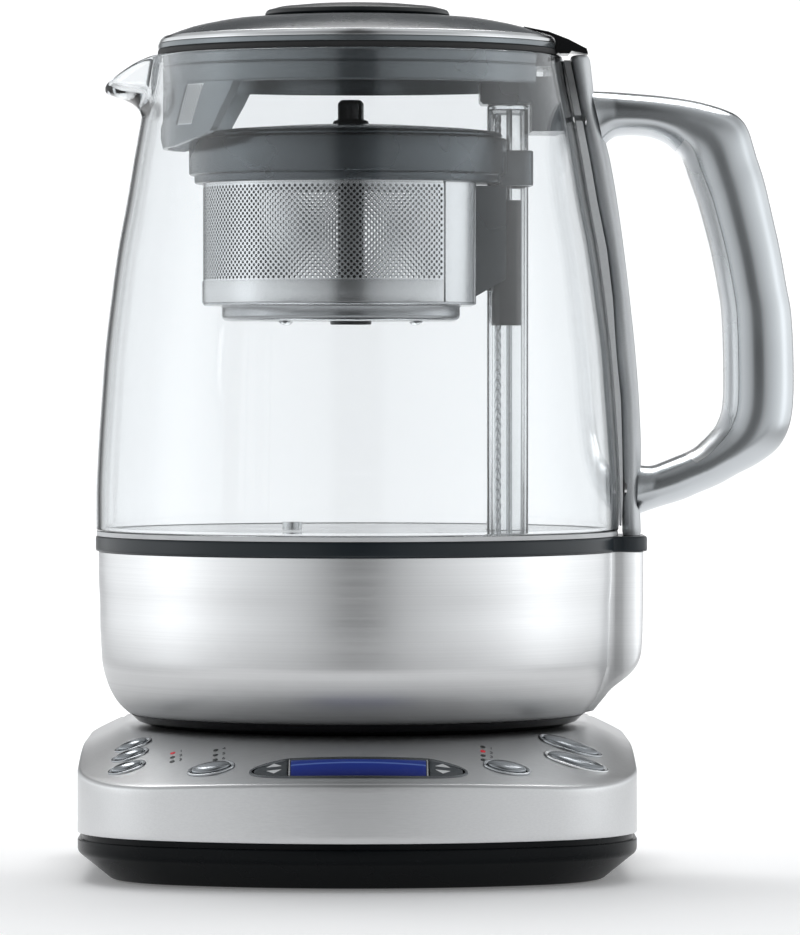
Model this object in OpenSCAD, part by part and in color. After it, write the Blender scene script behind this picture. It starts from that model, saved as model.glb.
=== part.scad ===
// Automatic tea maker: a glass jug with a steel skirt that sits on a round connector
// in a low power base. A tea basket climbs a clear column inside the jug.
// Millimetres. X runs to the handle, Y away from the control panel, Z up.

/* [Power base] */
// Half of the base's width
base_half_w = 83.3; // [82:0.1:85]
// Height of the seat that the jug stands on
seat_z = 43.3; // [42:0.1:43.3]
// Radius where the sloped panel begins, from the jug axis
seat_r = 71; // [69:0.5:72]
// Slope of the control panel in degrees
panel_tilt = 22; // [21:0.5:23]
// Sheet thickness of the base cover
shell_t = 1.3; // [1:0.1:1.6]
// Height of the joint between the lower casing and the cover
seam_z = 14.2; // [14:0.1:15]
// Inward travel of the push buttons
key_travel = 0.8; // [0.4:0.1:0.9]

/* [Jug] */
// Outer radius of the glass at its foot
glass_r = 79.7; // [79.5:0.1:80]
// Wall thickness of the glass
glass_t = 2.5; // [2:0.1:3]
// Height of the glass rim
rim_z = 247; // [246.8:0.1:247]
// Radius of the lid's skirt
lid_skirt_r = 59.2; // [58.8:0.1:59.3]
// Width of the handle
handle_w = 21; // [18:0.5:24]

/* [Basket] */
// Radius of the sieve wall
basket_r = 45; // [44.5:0.1:45]
// Diameter of the lift screw
screw_d = 2.4; // [2.2:0.1:2.5]

/* [Hidden] */
$fn = 96;
slope = tan(panel_tilt);
jx = -24.8;
jy = 6;
// Column and screw positions along X from the jug axis
col_x0 = 39.5;
col_x1 = 52;
col_h = 7;
scr_x = 42.7;
rod_x = 46.3;
mot_x = 66;
mot_r = 11.5;
bskt_x = -2;
e = 0.02;

// Push buttons: [x, y, half length, half width]
key_auto = [-66.8, -44.3, 4.4, 3.0];
key_warm = [-67.4, -53.6, 4.4, 3.0];
key_bskt = [-68.0, -64.2, 4.4, 3.0];
key_type = [-42.8, -81, 5.7, 3.25];
key_strg = [43.7, -80, 5.7, 3.25];
key_hot = [63.3, -49, 8.5, 4.0];
key_brew = [64.6, -62.3, 8.5, 4.0];
KEYS = [key_auto, key_warm, key_bskt, key_type, key_strg, key_hot, key_brew];
LEDS = [[-54.5, -62.6], [-54.5, -66], [-54.5, -69.3], [-41.7, -68.3], [-41.7, -71.8],
    [-41.7, -75.2], [36.9, -68.4], [36.9, -71.4], [36.9, -74.4], [36.9, -77.4]];
disp = [0.3, -88];

module at_jug() { translate([jx, jy, 0]) children(); }
function panel_z(x, y) = seat_z - max(0, norm([x, y]) - seat_r) * slope;

// Outline of the base, drawn in by d
module plan(d) {
    intersection() {
        translate([0, 30]) circle(r = 130 - d, $fn = 360);
        polygon([[0, 30], [90.1, -148.6], [-90.1, -148.6]]);
    }
    for (s = [-1, 1]) {
        translate([s * (base_half_w - 45), -45.9]) circle(r = 45 - d);
        translate([s * (base_half_w - 40), 48]) circle(r = 40 - d);
    }
    translate([-base_half_w + d, -45.9]) square([2 * (base_half_w - d), 93.9]);
    translate([-base_half_w + 40, 0]) square([2 * (base_half_w - 40), 88 - d]);
}
module prism(d, z0, z1) { translate([0, 0, z0]) linear_extrude(z1 - z0) plan(d); }

// The same outline with straight sloping sides, drawn in by da at za and db at zb
module taper(da, za, db, zb) {
    h = zb - za;
    intersection() {
        translate([0, 30, za]) cylinder(r1 = 130 - da, r2 = 130 - db, h = h, $fn = 360);
        translate([0, 0, za]) linear_extrude(h) polygon([[0, 30], [90.1, -148.6], [-90.1, -148.6]]);
    }
    for (s = [-1, 1]) {
        translate([s * (base_half_w - 45), -45.9, za]) cylinder(r1 = 45 - da, r2 = 45 - db, h = h);
        translate([s * (base_half_w - 40), 48, za]) cylinder(r1 = 40 - da, r2 = 40 - db, h = h);
    }
    translate([0, 48, 0]) rotate([90, 0, 0]) linear_extrude(93.9)
        polygon([[-base_half_w + da, za], [base_half_w - da, za], [base_half_w - db, zb], [-base_half_w + db, zb]]);
    translate([-base_half_w + 40, 0, 0]) rotate([90, 0, 90]) linear_extrude(2 * (base_half_w - 40))
        polygon([[0, za], [88 - da, za], [88 - db, zb], [0, zb]]);
}

// Everything under the top surface, lowered by dz: a cone in front, sloped sides behind
module under_top(dz) {
    zt = seat_z - dz;
    rl = seat_r + (zt - 5) / slope;
    intersection() {
        translate([0, 0, 5]) cylinder(r1 = rl, r2 = seat_r, h = zt - 5, $fn = 240);
        translate([-200, -200, 0]) cube([400, 200, 60]);
    }
    intersection() {
        translate([0, 120, 0]) rotate([90, 0, 0]) linear_extrude(120)
            polygon([[-rl, 5], [rl, 5], [seat_r, zt], [-seat_r, zt]]);
        translate([-200, 0, 0]) rotate([90, 0, 90]) linear_extrude(400)
            polygon([[0, 5], [76 + (zt - 5) / slope, 5], [76, zt], [0, zt]]);
    }
}

// An oval, half length a and half width b, with n sides
module oval(a, b, n = 28) polygon([for (i = [0:n - 1]) [a * cos(360 * i / n + 3), b * sin(360 * i / n + 3)]]);

// Puts its child on the sloped panel, with local Z along the panel's normal
module on_panel(p) {
    f = atan2(p[1], p[0]);
    translate([p[0], p[1], panel_z(p[0], p[1])])
        rotate([0, 0, f]) rotate([0, panel_tilt, 0]) rotate([0, 0, -f]) children();
}
module slab(z0, z1) { translate([0, 0, z0]) linear_extrude(z1 - z0) children(); }

// A layer that follows the panel, between two heights measured from it
module panel_layer(lo, hi) {
    intersection() {
        difference() {
            translate([0, 0, seat_z - 33 + hi]) cylinder(r1 = seat_r + 33 / slope, r2 = seat_r, h = 33, $fn = 240);
            translate([0, 0, seat_z - 33 + lo]) cylinder(r1 = seat_r + 33 / slope, r2 = seat_r, h = 33.001, $fn = 240);
        }
        translate([disp[0], disp[1], 0]) linear_extrude(60) children();
    }
}

// Oblong column outline, grown by d
module column2(d) {
    w = col_x1 - col_x0 + 2 * d;
    h = 2 * (col_h + d);
    r = 4 + d;
    translate([(col_x0 + col_x1) / 2, 0]) {
        square([w - 2 * r, h], center = true);
        square([w, h - 2 * r], center = true);
        for (sx = [-1, 1], sy = [-1, 1]) translate([sx * (w / 2 - r), sy * (h / 2 - r)]) circle(r = r, $fn = 48);
    }
}

// A round outline of radius R about the basket axis with a flat at X = xf, corner radius rc
module dshape(R, xf, rc) {
    cx = xf - rc;
    cy = sqrt((R - rc) * (R - rc) - (cx - bskt_x) * (cx - bskt_x));
    a = atan2(cy, cx - bskt_x);
    difference() {
        translate([bskt_x, 0]) circle(r = R, $fn = 180);
        polygon([[bskt_x + 3, 0], [bskt_x + 120 * cos(a - 0.3), 120 * sin(a - 0.3)], [150, 0], [bskt_x + 120 * cos(a - 0.3), -120 * sin(a - 0.3)]]);
    }
    polygon([[bskt_x - 5, 0], [cx - 4, -cy], [cx, -cy - 0.1], [xf, -cy - 0.1], [xf, cy + 0.1], [cx, cy + 0.1], [cx - 4, cy]]);
    for (s = [-1, 1]) translate([cx, s * cy]) circle(r = rc, $fn = 48);
}

// ---- power base ----
screw_xy = [[-62, -10], [62, -10], [-56, 58], [56, 58]];
feet_xy = [[-50, -64], [50, -64], [-44, 64], [44, 64]];
module base_pan() at_jug() color([0.09, 0.1, 0.11]) difference() {
    union() {
        difference() {
            union() {
                taper(10, 0.5, 0, 8.6);
                prism(0, 8.6, 12.4);
                prism(1.2, 12.4, seam_z);
            }
            taper(14.6, 3.7, 3, 10.66);
            prism(3, 10.6, seam_z + 1);
        }
        for (p = screw_xy) translate([p[0], p[1], 2]) cylinder(r = 5, h = 10.6);
    }
    for (p = screw_xy) {
        translate([p[0], p[1], 0]) cylinder(r = 1.6, h = 20);
        translate([p[0], p[1], 0]) cylinder(r = 3.2, h = 4.2);
    }
    translate([30, 70, 8.7]) rotate([-90, 0, 0]) cylinder(r = 5, h = 25);
    for (p = feet_xy) translate([p[0], p[1], -1]) cylinder(r = 6.02, h = 2.5);
}
module base_shell() at_jug() color([0.72, 0.73, 0.74]) difference() {
    union() {
        difference() {
            intersection() { prism(0, seam_z, seat_z + 1); under_top(0); }
            intersection() { prism(shell_t, seam_z - 1, seat_z); under_top(shell_t); }
        }
        for (p = screw_xy) translate([p[0], p[1], 12.8]) cylinder(r = 3.6, h = 29.7);
    }
    for (p = screw_xy) translate([p[0], p[1], 10]) cylinder(r = 1.3, h = 18);
    for (k = KEYS) on_panel(k) slab(-6, 3) oval(k[2] + 0.9, k[3] + 0.9);
    for (l = LEDS) on_panel(l) translate([0, 0, -4]) cylinder(r = 0.85, h = 8, $fn = 32);
    translate([disp[0], disp[1], 25]) linear_extrude(30) oval(31.25, 7.25, 56);
    translate([0, 0, 30]) cylinder(r = 17.4, h = 20);
}
module base_feet() at_jug() color([0.15, 0.15, 0.16])
    for (p = feet_xy) translate([p[0], p[1], 0]) cylinder(r = 6, h = 1.5);
module base_screws() at_jug() color([0.7, 0.7, 0.7])
    for (p = screw_xy) translate([p[0], p[1], 0]) {
        translate([0, 0, 2.2]) cylinder(r = 2.8, h = 2);
        translate([0, 0, 4]) cylinder(r = 1.25, h = 20);
    }
module cord_gland() at_jug() color([0.12, 0.12, 0.13]) translate([30, 0, 8.7]) rotate([-90, 0, 0]) difference() {
    union() { translate([0, 0, 74]) cylinder(r = 4.95, h = 14); translate([0, 0, 72]) cylinder(r = 4.95, h = 3); }
    cylinder(r = 3.4, h = 100);
}
module coupler_housing() at_jug() color([0.13, 0.13, 0.14]) difference() {
    union() {
        translate([0, 0, 30]) cylinder(r = 17, h = 20.5);
        translate([0, 0, 39]) cylinder(r = 22, h = 2.9);
    }
    translate([0, 0, 34]) cylinder(r = 3, h = 20);
    for (r = [6, 11.2]) translate([0, 0, 35]) difference() {
        cylinder(r = r + 2, h = 20);
        translate([0, 0, -1]) cylinder(r = r, h = 22);
    }
}
module coupler_contacts() at_jug() color([0.8, 0.65, 0.3]) {
    translate([0, 0, 34]) cylinder(r = 1.5, h = 15);
    for (r = [6.4, 11.6]) translate([0, 0, 35]) difference() {
        cylinder(r = r + 1.2, h = 12);
        translate([0, 0, -1]) cylinder(r = r, h = 14);
    }
}
module control_board() at_jug() color([0.1, 0.35, 0.2]) {
    difference() {
        translate([0, 0, 19]) linear_extrude(1.6) difference() {
            intersection() { plan(5); translate([-90, -100]) square([180, 64]); }
            circle(r = 25);
        }
        for (s = [-1, 1]) translate([s * 40, -60, 10]) cylinder(r = 1.6, h = 20);
    }
    for (k = KEYS) on_panel(k) {
        L = (panel_z(k[0], k[1]) - 19.8) / cos(panel_tilt);
        translate([0, 0, -L]) cylinder(r = 1.9, h = L - 5.3 - key_travel, $fn = 40);
    }
    translate([20, -58, 20.6]) cube([16, 12, 2]);
}
module power_board() at_jug() color([0.2, 0.4, 0.25]) {
    translate([-50, 22, 16]) cube([78, 48, 1.6]);
    for (p = [[-44, 28], [22, 28], [-44, 64], [22, 64]]) translate([p[0], p[1], 3.7]) cylinder(r = 2.5, h = 12.4);
    translate([-44, 32, 17.6]) cube([22, 26, 17]);
    translate([-14, 36, 17.6]) cube([14, 22, 14]);
    translate([10, 52, 17.6]) cylinder(r = 7, h = 16);
}
module display_module() at_jug() color([0.3, 0.33, 0.36]) on_panel(disp)
    translate([-22, -6, -9.6]) cube([44, 12, 3.6]);
module display_window() at_jug() color([0.16, 0.25, 0.66]) panel_layer(-2, 0.15)
    intersection() { oval(30.7, 6.55, 56); square([39.6, 20], center = true); }
module display_frame() at_jug() color([0.2, 0.22, 0.24]) {
    panel_layer(-3.2, 0.3) difference() {
        oval(31.15, 7.15, 56);
        oval(31.0, 6.95, 56);
    }
    panel_layer(0.03, 0.3) difference() {
        oval(32, 7.9, 56);
        oval(31.05, 7.0, 56);
    }
    for (s = [-1, 1]) panel_layer(-3.2, 0.2) translate([s * 20.1, 0]) square([0.5, 10.2], center = true);
}
module led_lenses() at_jug() color([0.5, 0.1, 0.12]) for (l = LEDS) on_panel(l) translate([0, 0, -3.2]) cylinder(r = 0.8, h = 3.4, $fn = 32);
module button_bezels() at_jug() color([0.75, 0.76, 0.78]) for (k = KEYS) on_panel(k) {
    slab(-3, 0.5) difference() { oval(k[2] + 0.85, k[3] + 0.85); oval(k[2] + 0.3, k[3] + 0.3); }
    slab(0.02, 0.5) difference() { oval(k[2] + 1.5, k[3] + 1.3); oval(k[2] + 0.8, k[3] + 0.8); }
}
module key(k, dz = 1.6) color([0.45, 0.47, 0.49]) at_jug() on_panel(k) {
    slab(-5, dz - 0.5) oval(k[2], k[3]);
    slab(dz - 0.5 - e, dz) oval(k[2] - 0.7, k[3] - 0.6);
    slab(-5, -3.4) oval(k[2] + 0.8, k[3] + 0.8);
}
module auto_start_button() key(key_auto);
module keep_warm_button() key(key_warm);
module basket_button() key(key_bskt);
module tea_type_button() key(key_type);
module strength_button() key(key_strg);
module hot_water_button() key(key_hot);
module brew_button() key(key_brew);
module rocker(s) at_jug() color([0.3, 0.32, 0.34]) panel_layer(-3, 0.45) intersection() {
    oval(30.55, 6.5, 56);
    translate([s * 20.75 + (s < 0 ? -20 : 0), -10]) square([20, 20]);
}
module temperature_rocker() rocker(-1);
module time_rocker() rocker(1);

// ---- jug: lower part ----
module jug_connector() at_jug() color([0.12, 0.12, 0.13]) {
    difference() {
        union() {
            translate([0, 0, 44]) cylinder(r = 21.4, h = 11);
            translate([0, 0, 47.2]) cylinder(r = 24.4, h = 1.8);
        }
        translate([0, 0, 43]) cylinder(r = 17.7, h = 9);
    }
    difference() {
        translate([0, 0, 41]) cylinder(r = 2.6, h = 12);
        translate([0, 0, 40]) cylinder(r = 1.85, h = 10);
    }
}
post_a = [60, 180, 300];
module jug_foot() at_jug() color([0.1, 0.1, 0.11]) difference() {
    union() {
        rotate_extrude() polygon([[22, 43.6], [62.7, 43.6], [66.8, 44.9], [69, 47], [67.5, 47], [67.5, 51], [65.8, 51], [65.8, 46.8], [22, 46.8]]);
        translate([scr_x, 0, 46]) cylinder(r = 4.5, h = 6);
        for (s = [-1, 1]) translate([58, s * 13.5, 46]) cylinder(r = 3, h = 17);
        difference() {
            translate([52, -15, 62]) cube([27, 30, 1.8]);
            translate([mot_x, 0, 60]) cylinder(r = 3.2, h = 6);
        }
    }
    translate([scr_x, 0, 47.6]) cylinder(r = screw_d / 2 + 0.08, h = 10);
    for (a = post_a) rotate(a) translate([60, 0, 0]) {
        translate([0, 0, 40]) cylinder(r = 1.5, h = 10);
        translate([0, 0, 43]) cylinder(r = 3.1, h = 2.3);
    }
}
module foot_screws() at_jug() color([0.7, 0.7, 0.7]) for (a = post_a) rotate(a) translate([60, 0, 0]) {
    translate([0, 0, 43.8]) cylinder(r = 2.8, h = 1.5);
    translate([0, 0, 45.2]) cylinder(r = 1.25, h = 17);
}
skirt_o = [[69, 47], [70.2, 47.8], [73.3, 51], [76.3, 57], [77.8, 63], [78.1, 69], [78.4, 75], [78.4, 81], [78.8, 87.4], [78.8, 96.6]];
skirt_i = [[68, 47], [69.4, 48.4], [72.4, 51.6], [75.3, 57.3], [76.8, 63.1], [77.1, 69], [77.4, 75], [77.4, 81], [77.8, 87.4], [77.8, 96.6]];
boss_o = [[87.1, 96.6], [86.8, 75], [86.2, 66], [84.9, 62.5], [82.3, 59.5], [76.8, 55.2], [74.6, 52.6], [71.2, 48.4], [60, 48.4]];
boss_i = [[86.1, 96.6], [85.8, 75], [85.2, 66.3], [84.1, 63.2], [81.6, 60.3], [76.1, 56], [73.8, 53.2], [70.6, 49.4], [60, 49.4]];
module boss_plan(d) {
    w = 18.5 - d;
    r = 8 - d;
    x = 87.2 - d;
    translate([50, -w]) square([x - r - 50, 2 * w]);
    translate([50, -w + r]) square([x - 50, 2 * (w - r)]);
    for (s = [-1, 1]) translate([x - r, s * (w - r)]) circle(r = r, $fn = 48);
}
module boss_solid(p, d, z1) intersection() {
    translate([0, 40, 0]) rotate([90, 0, 0]) linear_extrude(80) polygon(concat(p, [[60, 96.6]]));
    translate([0, 0, 40]) linear_extrude(z1 - 40) boss_plan(d);
}
module jug_skirt() at_jug() color([0.72, 0.73, 0.74]) difference() {
    union() {
        rotate_extrude($fn = 180) polygon(concat([[0, 47]], skirt_o, [[0, 96.6]]));
        boss_solid(boss_o, 0, 96.6);
    }
    rotate_extrude($fn = 180) polygon(concat([[0, 46]], [[68, 46]], skirt_i, [[77.8, 97], [0, 97]]));
    translate([0, 0, 0.01]) boss_solid(boss_i, 1, 100);
}
module collar_ring() at_jug() color([0.22, 0.26, 0.28]) difference() {
    union() {
        rotate_extrude($fn = 180) polygon([[57, 98.5], [72, 98.5], [75.4, 93], [77.4, 93], [77.4, 96.6], [79.7, 96.6], [79.7, 101.2], [75.2, 101.2], [75.2, 101.9], [57, 101.9]]);
        translate([0, 0, 96.6]) linear_extrude(4.6) difference() {
            translate([0.7, 0]) boss_plan(0);
            circle(r = 76, $fn = 180);
        }
        for (a = post_a) rotate(a) translate([60, 0, 47]) cylinder(r = 3.6, h = 52);
    }
    for (a = post_a) rotate(a) translate([60, 0, 45]) cylinder(r = 1.3, h = 23);
    translate([83.4, 0, 90]) cylinder(r = 1.5, h = 20);
}
module heater_plate() at_jug() color([0.78, 0.78, 0.78]) difference() {
    rotate_extrude($fn = 180) polygon([[0, 102], [75.2, 102], [75.2, 103], [0, 103]]);
    translate([0, 0, 100]) linear_extrude(6) column2(0.15);
    translate([-20, 12, 100]) cylinder(r = 3.05, h = 6);
}
module heating_element() at_jug() color([0.6, 0.6, 0.6]) {
    rotate([0, 0, 32]) rotate_extrude(angle = 296) translate([46, 96.9]) circle(r = 5, $fn = 48);
    for (s = [-1, 1]) rotate([0, 0, s * 34]) translate([46, 0, 84]) cylinder(r = 2, h = 12);
}
module temp_sensor() at_jug() color([0.75, 0.75, 0.76]) translate([-20, 12, 0]) {
    translate([0, 0, 94]) cylinder(r = 3, h = 11);
    translate([0, 0, 96]) cylinder(r = 4.6, h = 5.9);
}
module vessel_seal() at_jug() color([0.55, 0.56, 0.57]) {
    rotate_extrude($fn = 180) polygon([[75.4, 101.25], [79.4, 101.25], [79.4, 102.6], [77, 102.6], [77, 103.2], [75.4, 103.2]]);
    translate([0, 0, 99.6]) linear_extrude(2.3) difference() { column2(2.2); column2(0.05); }
}
// Outside of the glass, as [radius, height]
glass_o = [[glass_r, 102.7], [glass_r, 111.8], [79.1, 127], [78.1, 142], [76.9, 157.6], [75.1, 172.8], [73, 188], [70.2, 203], [68.1, 215.5], [65.9, 227.7], [64, 237.5], [62.4, 247]];
module spout_plan(d) {
    r = 6.4 - d;
    polygon([[-40, -18 + d], [-58.5, -17.5 + d], [-73.5, -r * 0.94], [-73.5, r * 0.94], [-58.5, 17.5 - d], [-40, 18 - d]]);
    translate([-71.3 + d * 0.2, 0]) circle(r = r, $fn = 48);
}
module spout_solid(p, d) intersection() {
    translate([0, 40, 0]) rotate([90, 0, 0]) linear_extrude(80) polygon(p);
    translate([0, 0, 200]) linear_extrude(60) spout_plan(d);
}
module glass_vessel() at_jug() color([0.85, 0.9, 0.92, 0.35]) difference() {
    union() {
        rotate_extrude($fn = 180) polygon(concat([[0, 102.7]], glass_o, [[0, rim_z]]));
        spout_solid([[-50, rim_z], [-60.4, rim_z], [-68.5, 244.3], [-74.4, 240.7], [-77.7, 236.8], [-77.2, 235.6], [-74.8, 235], [-70.7, 234.6], [-67, 231], [-65.5, 228.6], [-64, 226], [-50, 226]], 0);
    }
    rotate_extrude($fn = 180) polygon(concat([[0, 102]], [for (p = glass_o) [p[0] - glass_t, p[1] <= 103 ? 102 : p[1]]], [[62.4 - glass_t, 248], [0, 248]]));
    spout_solid([[-50, 260], [-78, 260], [-78, 238.4], [-75.2, 237.6], [-70, 237], [-66, 235], [-62.6, 229.6], [-50, 229.6]], glass_t);
}

// ---- lift column and drive ----
module column_tube() at_jug() color([0.88, 0.9, 0.92, 0.4]) difference() {
    union() {
        translate([0, 0, 96]) linear_extrude(136) column2(0);
    }
    translate([0, 0, 95]) linear_extrude(135.6) column2(-1);
    translate([scr_x, 0, 225]) cylinder(r = screw_d / 2 + 0.08, h = 10);
}
module guide_rod() at_jug() color([0.7, 0.71, 0.72]) translate([rod_x, 0, 97]) cylinder(r = 0.9, h = 133.6);
// The bracket's tab stays inside the glass and inside the notch in the lid
module column_bracket() at_jug() color([0.33, 0.36, 0.39]) difference() {
    union() {
        difference() {
            translate([37.2, -8.6, 232]) cube([12, 17.2, 6.7]);
            translate([37, 0, 0]) translate([-0.1, 10, 231.9]) rotate([90, 0, 0]) linear_extrude(20) polygon([[-1, -1], [2.2, -1], [-1, 2.4]]);
        }
        intersection() {
            translate([48.4, -17, 223.5]) cube([14, 34, 22.5]);
            translate([0, 0, 220]) cylinder(r1 = 64.4, r2 = 59.2, h = 26.2);
            union() {
                translate([48.4, -17, 232]) cube([14, 34, 14]);
                translate([52.4, -17, 223.5]) cube([14, 34, 10]);
            }
        }
    }
    translate([53.5, -20, 240]) cube([4.5, 40, 3.2]);
}
module lift_motor() at_jug() color([0.6, 0.6, 0.62]) translate([mot_x, 0, 63.8]) difference() {
    union() { cylinder(r = mot_r, h = 26); translate([0, 0, -1]) cylinder(r = 3.1, h = 2); }
    translate([0, 0, -2]) cylinder(r = 1.6, h = 11);
}
module drive_belt() at_jug() color([0.15, 0.15, 0.15]) translate([0, 0, 56.6]) linear_extrude(3) difference() {
    union() {
        translate([scr_x, 0]) circle(r = 6.5);
        translate([mot_x, 0]) circle(r = 6.5);
        translate([scr_x, -6.5]) square([mot_x - scr_x, 13]);
    }
    translate([scr_x, 0]) circle(r = 5.3);
    translate([mot_x, 0]) circle(r = 5.3);
    translate([scr_x, -5.3]) square([mot_x - scr_x, 10.6]);
}
module pulley() difference() {
    union() {
        translate([0, 0, 56.3]) cylinder(r = 4.9, h = 3.6);
        translate([0, 0, 55.4]) cylinder(r = 6.3, h = 0.9);
        translate([0, 0, 59.9]) cylinder(r = 6.3, h = 0.9);
    }
    for (i = [0:15]) rotate(i * 22.5) translate([4.9, 0, 56.3]) cylinder(r = 0.35, h = 3.6, $fn = 24);
}
module lead_screw() at_jug() color([0.78, 0.78, 0.76]) translate([scr_x, 0, 0]) {
    translate([0, 0, 48]) cylinder(r = screw_d / 2, h = 181.6);
    pulley();
}
module motor_pulley() at_jug() color([0.75, 0.7, 0.5]) translate([mot_x, 0, 0]) {
    pulley();
    translate([0, 0, 54.6]) cylinder(r = 1.5, h = 17.4);
}
module carriage() at_jug() color([0.25, 0.27, 0.29]) difference() {
    translate([0, 0, 165]) linear_extrude(38) intersection() {
        column2(-1.4);
        translate([40, -8]) square([9.6, 16]);
    }
    translate([scr_x, 0, 160]) cylinder(r = screw_d / 2 + 0.1, h = 50);
    translate([rod_x, 0, 160]) cylinder(r = 1.0, h = 50);
    for (s = [-1, 1]) translate([41, s * 3.6 - 1, 175]) cube([3, 2, 20]);
}
module magnets() at_jug() color([0.6, 0.6, 0.62]) {
    for (s = [-1, 1]) translate([41, s * 3.6 - 1, 175]) cube([3, 2, 20]);
    for (s = [-1, 1]) translate([36.3, s * 3.6 - 2, 182]) cube([2, 4, 20]);
}

// ---- basket ----
module basket_ring() at_jug() color([0.33, 0.36, 0.39]) difference() {
    union() {
        translate([0, 0, 210.5]) linear_extrude(11) dshape(49.3, 44.9, 5);
        translate([0, 0, 208]) linear_extrude(2.6) dshape(47.6, 43.4, 4);
        translate([0, 0, 207.3]) linear_extrude(10.7) {
            translate([40, -10.2]) square([10.3, 20.4]);
            translate([40, -7.2]) square([13.3, 14.4]);
            for (s = [-1, 1]) translate([50.3, s * 7.2]) circle(r = 3, $fn = 40);
        }
    }
    translate([0, 0, 205]) linear_extrude(20) dshape(basket_r + 0.05, 35.65, 5);
    translate([0, 0, 200]) linear_extrude(30) column2(0.4);
}
module basket_bracket() at_jug() color([0.33, 0.36, 0.39]) difference() {
    intersection() {
        translate([0, 10.4, 0]) rotate([90, 0, 0]) linear_extrude(20.8) polygon([[35.65, 207.25], [35.65, 173.6], [45, 179], [45, 207.25]]);
        translate([0, 0, 170]) linear_extrude(40) translate([30, -10.4]) square([15, 20.8]);
    }
    translate([0, 0, 160]) linear_extrude(50) column2(0.4);
    for (s = [-1, 1]) translate([36.3, s * 3.6 - 2, 182]) cube([2, 4, 20]);
}
module basket_wall() at_jug() color([0.75, 0.76, 0.77]) translate([0, 0, 171.8]) linear_extrude(49.4) difference() {
    dshape(basket_r, 35.6, 5);
    dshape(basket_r - 0.8, 34.8, 4.2);
}
module basket_floor() at_jug() color([0.78, 0.79, 0.8]) difference() {
    union() {
        translate([0, 0, 171.8]) linear_extrude(6.2) difference() { dshape(basket_r - 0.85, 34.75, 4.15); dshape(basket_r - 1.6, 34, 3.4); }
        translate([0, 0, 170.9]) linear_extrude(0.9) difference() { dshape(basket_r, 35.6, 5); dshape(37.5, 29, 4); }
        translate([0, 0, 166.3]) linear_extrude(5.5) difference() { dshape(39.3, 30.8, 5); dshape(38.3, 29.8, 4); }
        translate([0, 0, 166.3]) linear_extrude(1) dshape(39.3, 30.8, 5);
        for (a = [50, 130, 230, 310]) translate([bskt_x + 31 * cos(a), 31 * sin(a), 165.2]) cylinder(r1 = 1.4, r2 = 2.4, h = 1.2, $fn = 32);
        translate([bskt_x, 0, 165.2]) cylinder(r = 6.3, h = 9);
    }
    translate([bskt_x, 0, 168.5]) cylinder(r = 4.3, h = 20);
    for (a = [0:30:330], r = [14, 23]) translate([bskt_x + r * cos(a), r * sin(a), 160]) cylinder(r = 1.3, h = 10, $fn = 24);
}
module basket_lid() at_jug() color([0.2, 0.22, 0.24]) difference() {
    intersection() {
        rotate_lid();
        translate([0, 0, 215]) linear_extrude(20) dshape(48.2, 43.6, 5);
    }
    translate([38.7, -8.2, 210]) cube([30, 16.4, 30]);
    translate([bskt_x, 0, 210]) cylinder(r = 4, h = 30);
}
module rotate_lid() translate([bskt_x, 0, 0]) rotate_extrude($fn = 180)
    polygon([[0, 221.6], [48.2, 221.6], [48.2, 222.6], [46, 223.6], [30, 225], [12, 226], [0, 226]]);
module basket_stem() at_jug() color([0.05, 0.05, 0.05]) translate([bskt_x, 0, 0]) rotate_extrude($fn = 64)
    polygon([[0, 169.5], [3.3, 169.5], [3.95, 170.5], [3.95, 232.6], [3, 233.5], [0, 233.5]]);

// ---- lid ----
dome_o = [[28, 258.8], [38.8, 258], [47.4, 256.4], [54, 254.5], [58.6, 252.7]];
module lid_body(g = 0) rotate_extrude($fn = 180)
    polygon([[0, 245], [60.7 + g, 245], [60.7 + g, 251.1], [60.3 + g, 252.2], [59.3 + g, 252.9 + g], [54, 254.6 + g], [47.4, 256.5 + g], [38.8, 258.1 + g], [0, 259 + g]]);
module lid_cap() at_jug() color([0.28, 0.31, 0.34]) rotate_extrude($fn = 180)
    polygon(concat([[5.2, 258.8]], dome_o, [[56.6, 252.7], [53.4, 252.9], [46.6, 254.8], [38.4, 256.2], [5.2, 256.8]]));
module lid_band() at_jug() color([0.8, 0.81, 0.82]) rotate_extrude($fn = 180)
    polygon([[57, 250.6], [60.5, 250.6], [60, 252], [59.2, 252.7], [57, 252.7]]);
module lid_knob() at_jug() color([0.07, 0.08, 0.09]) rotate_extrude($fn = 180)
    polygon([[0, 250.8], [5, 250.8], [5, 258.82], [27.6, 258.82], [28.2, 259.5], [27.4, 260.8], [24, 261.8], [16, 262.7], [8, 263], [0, 263]]);
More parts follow.
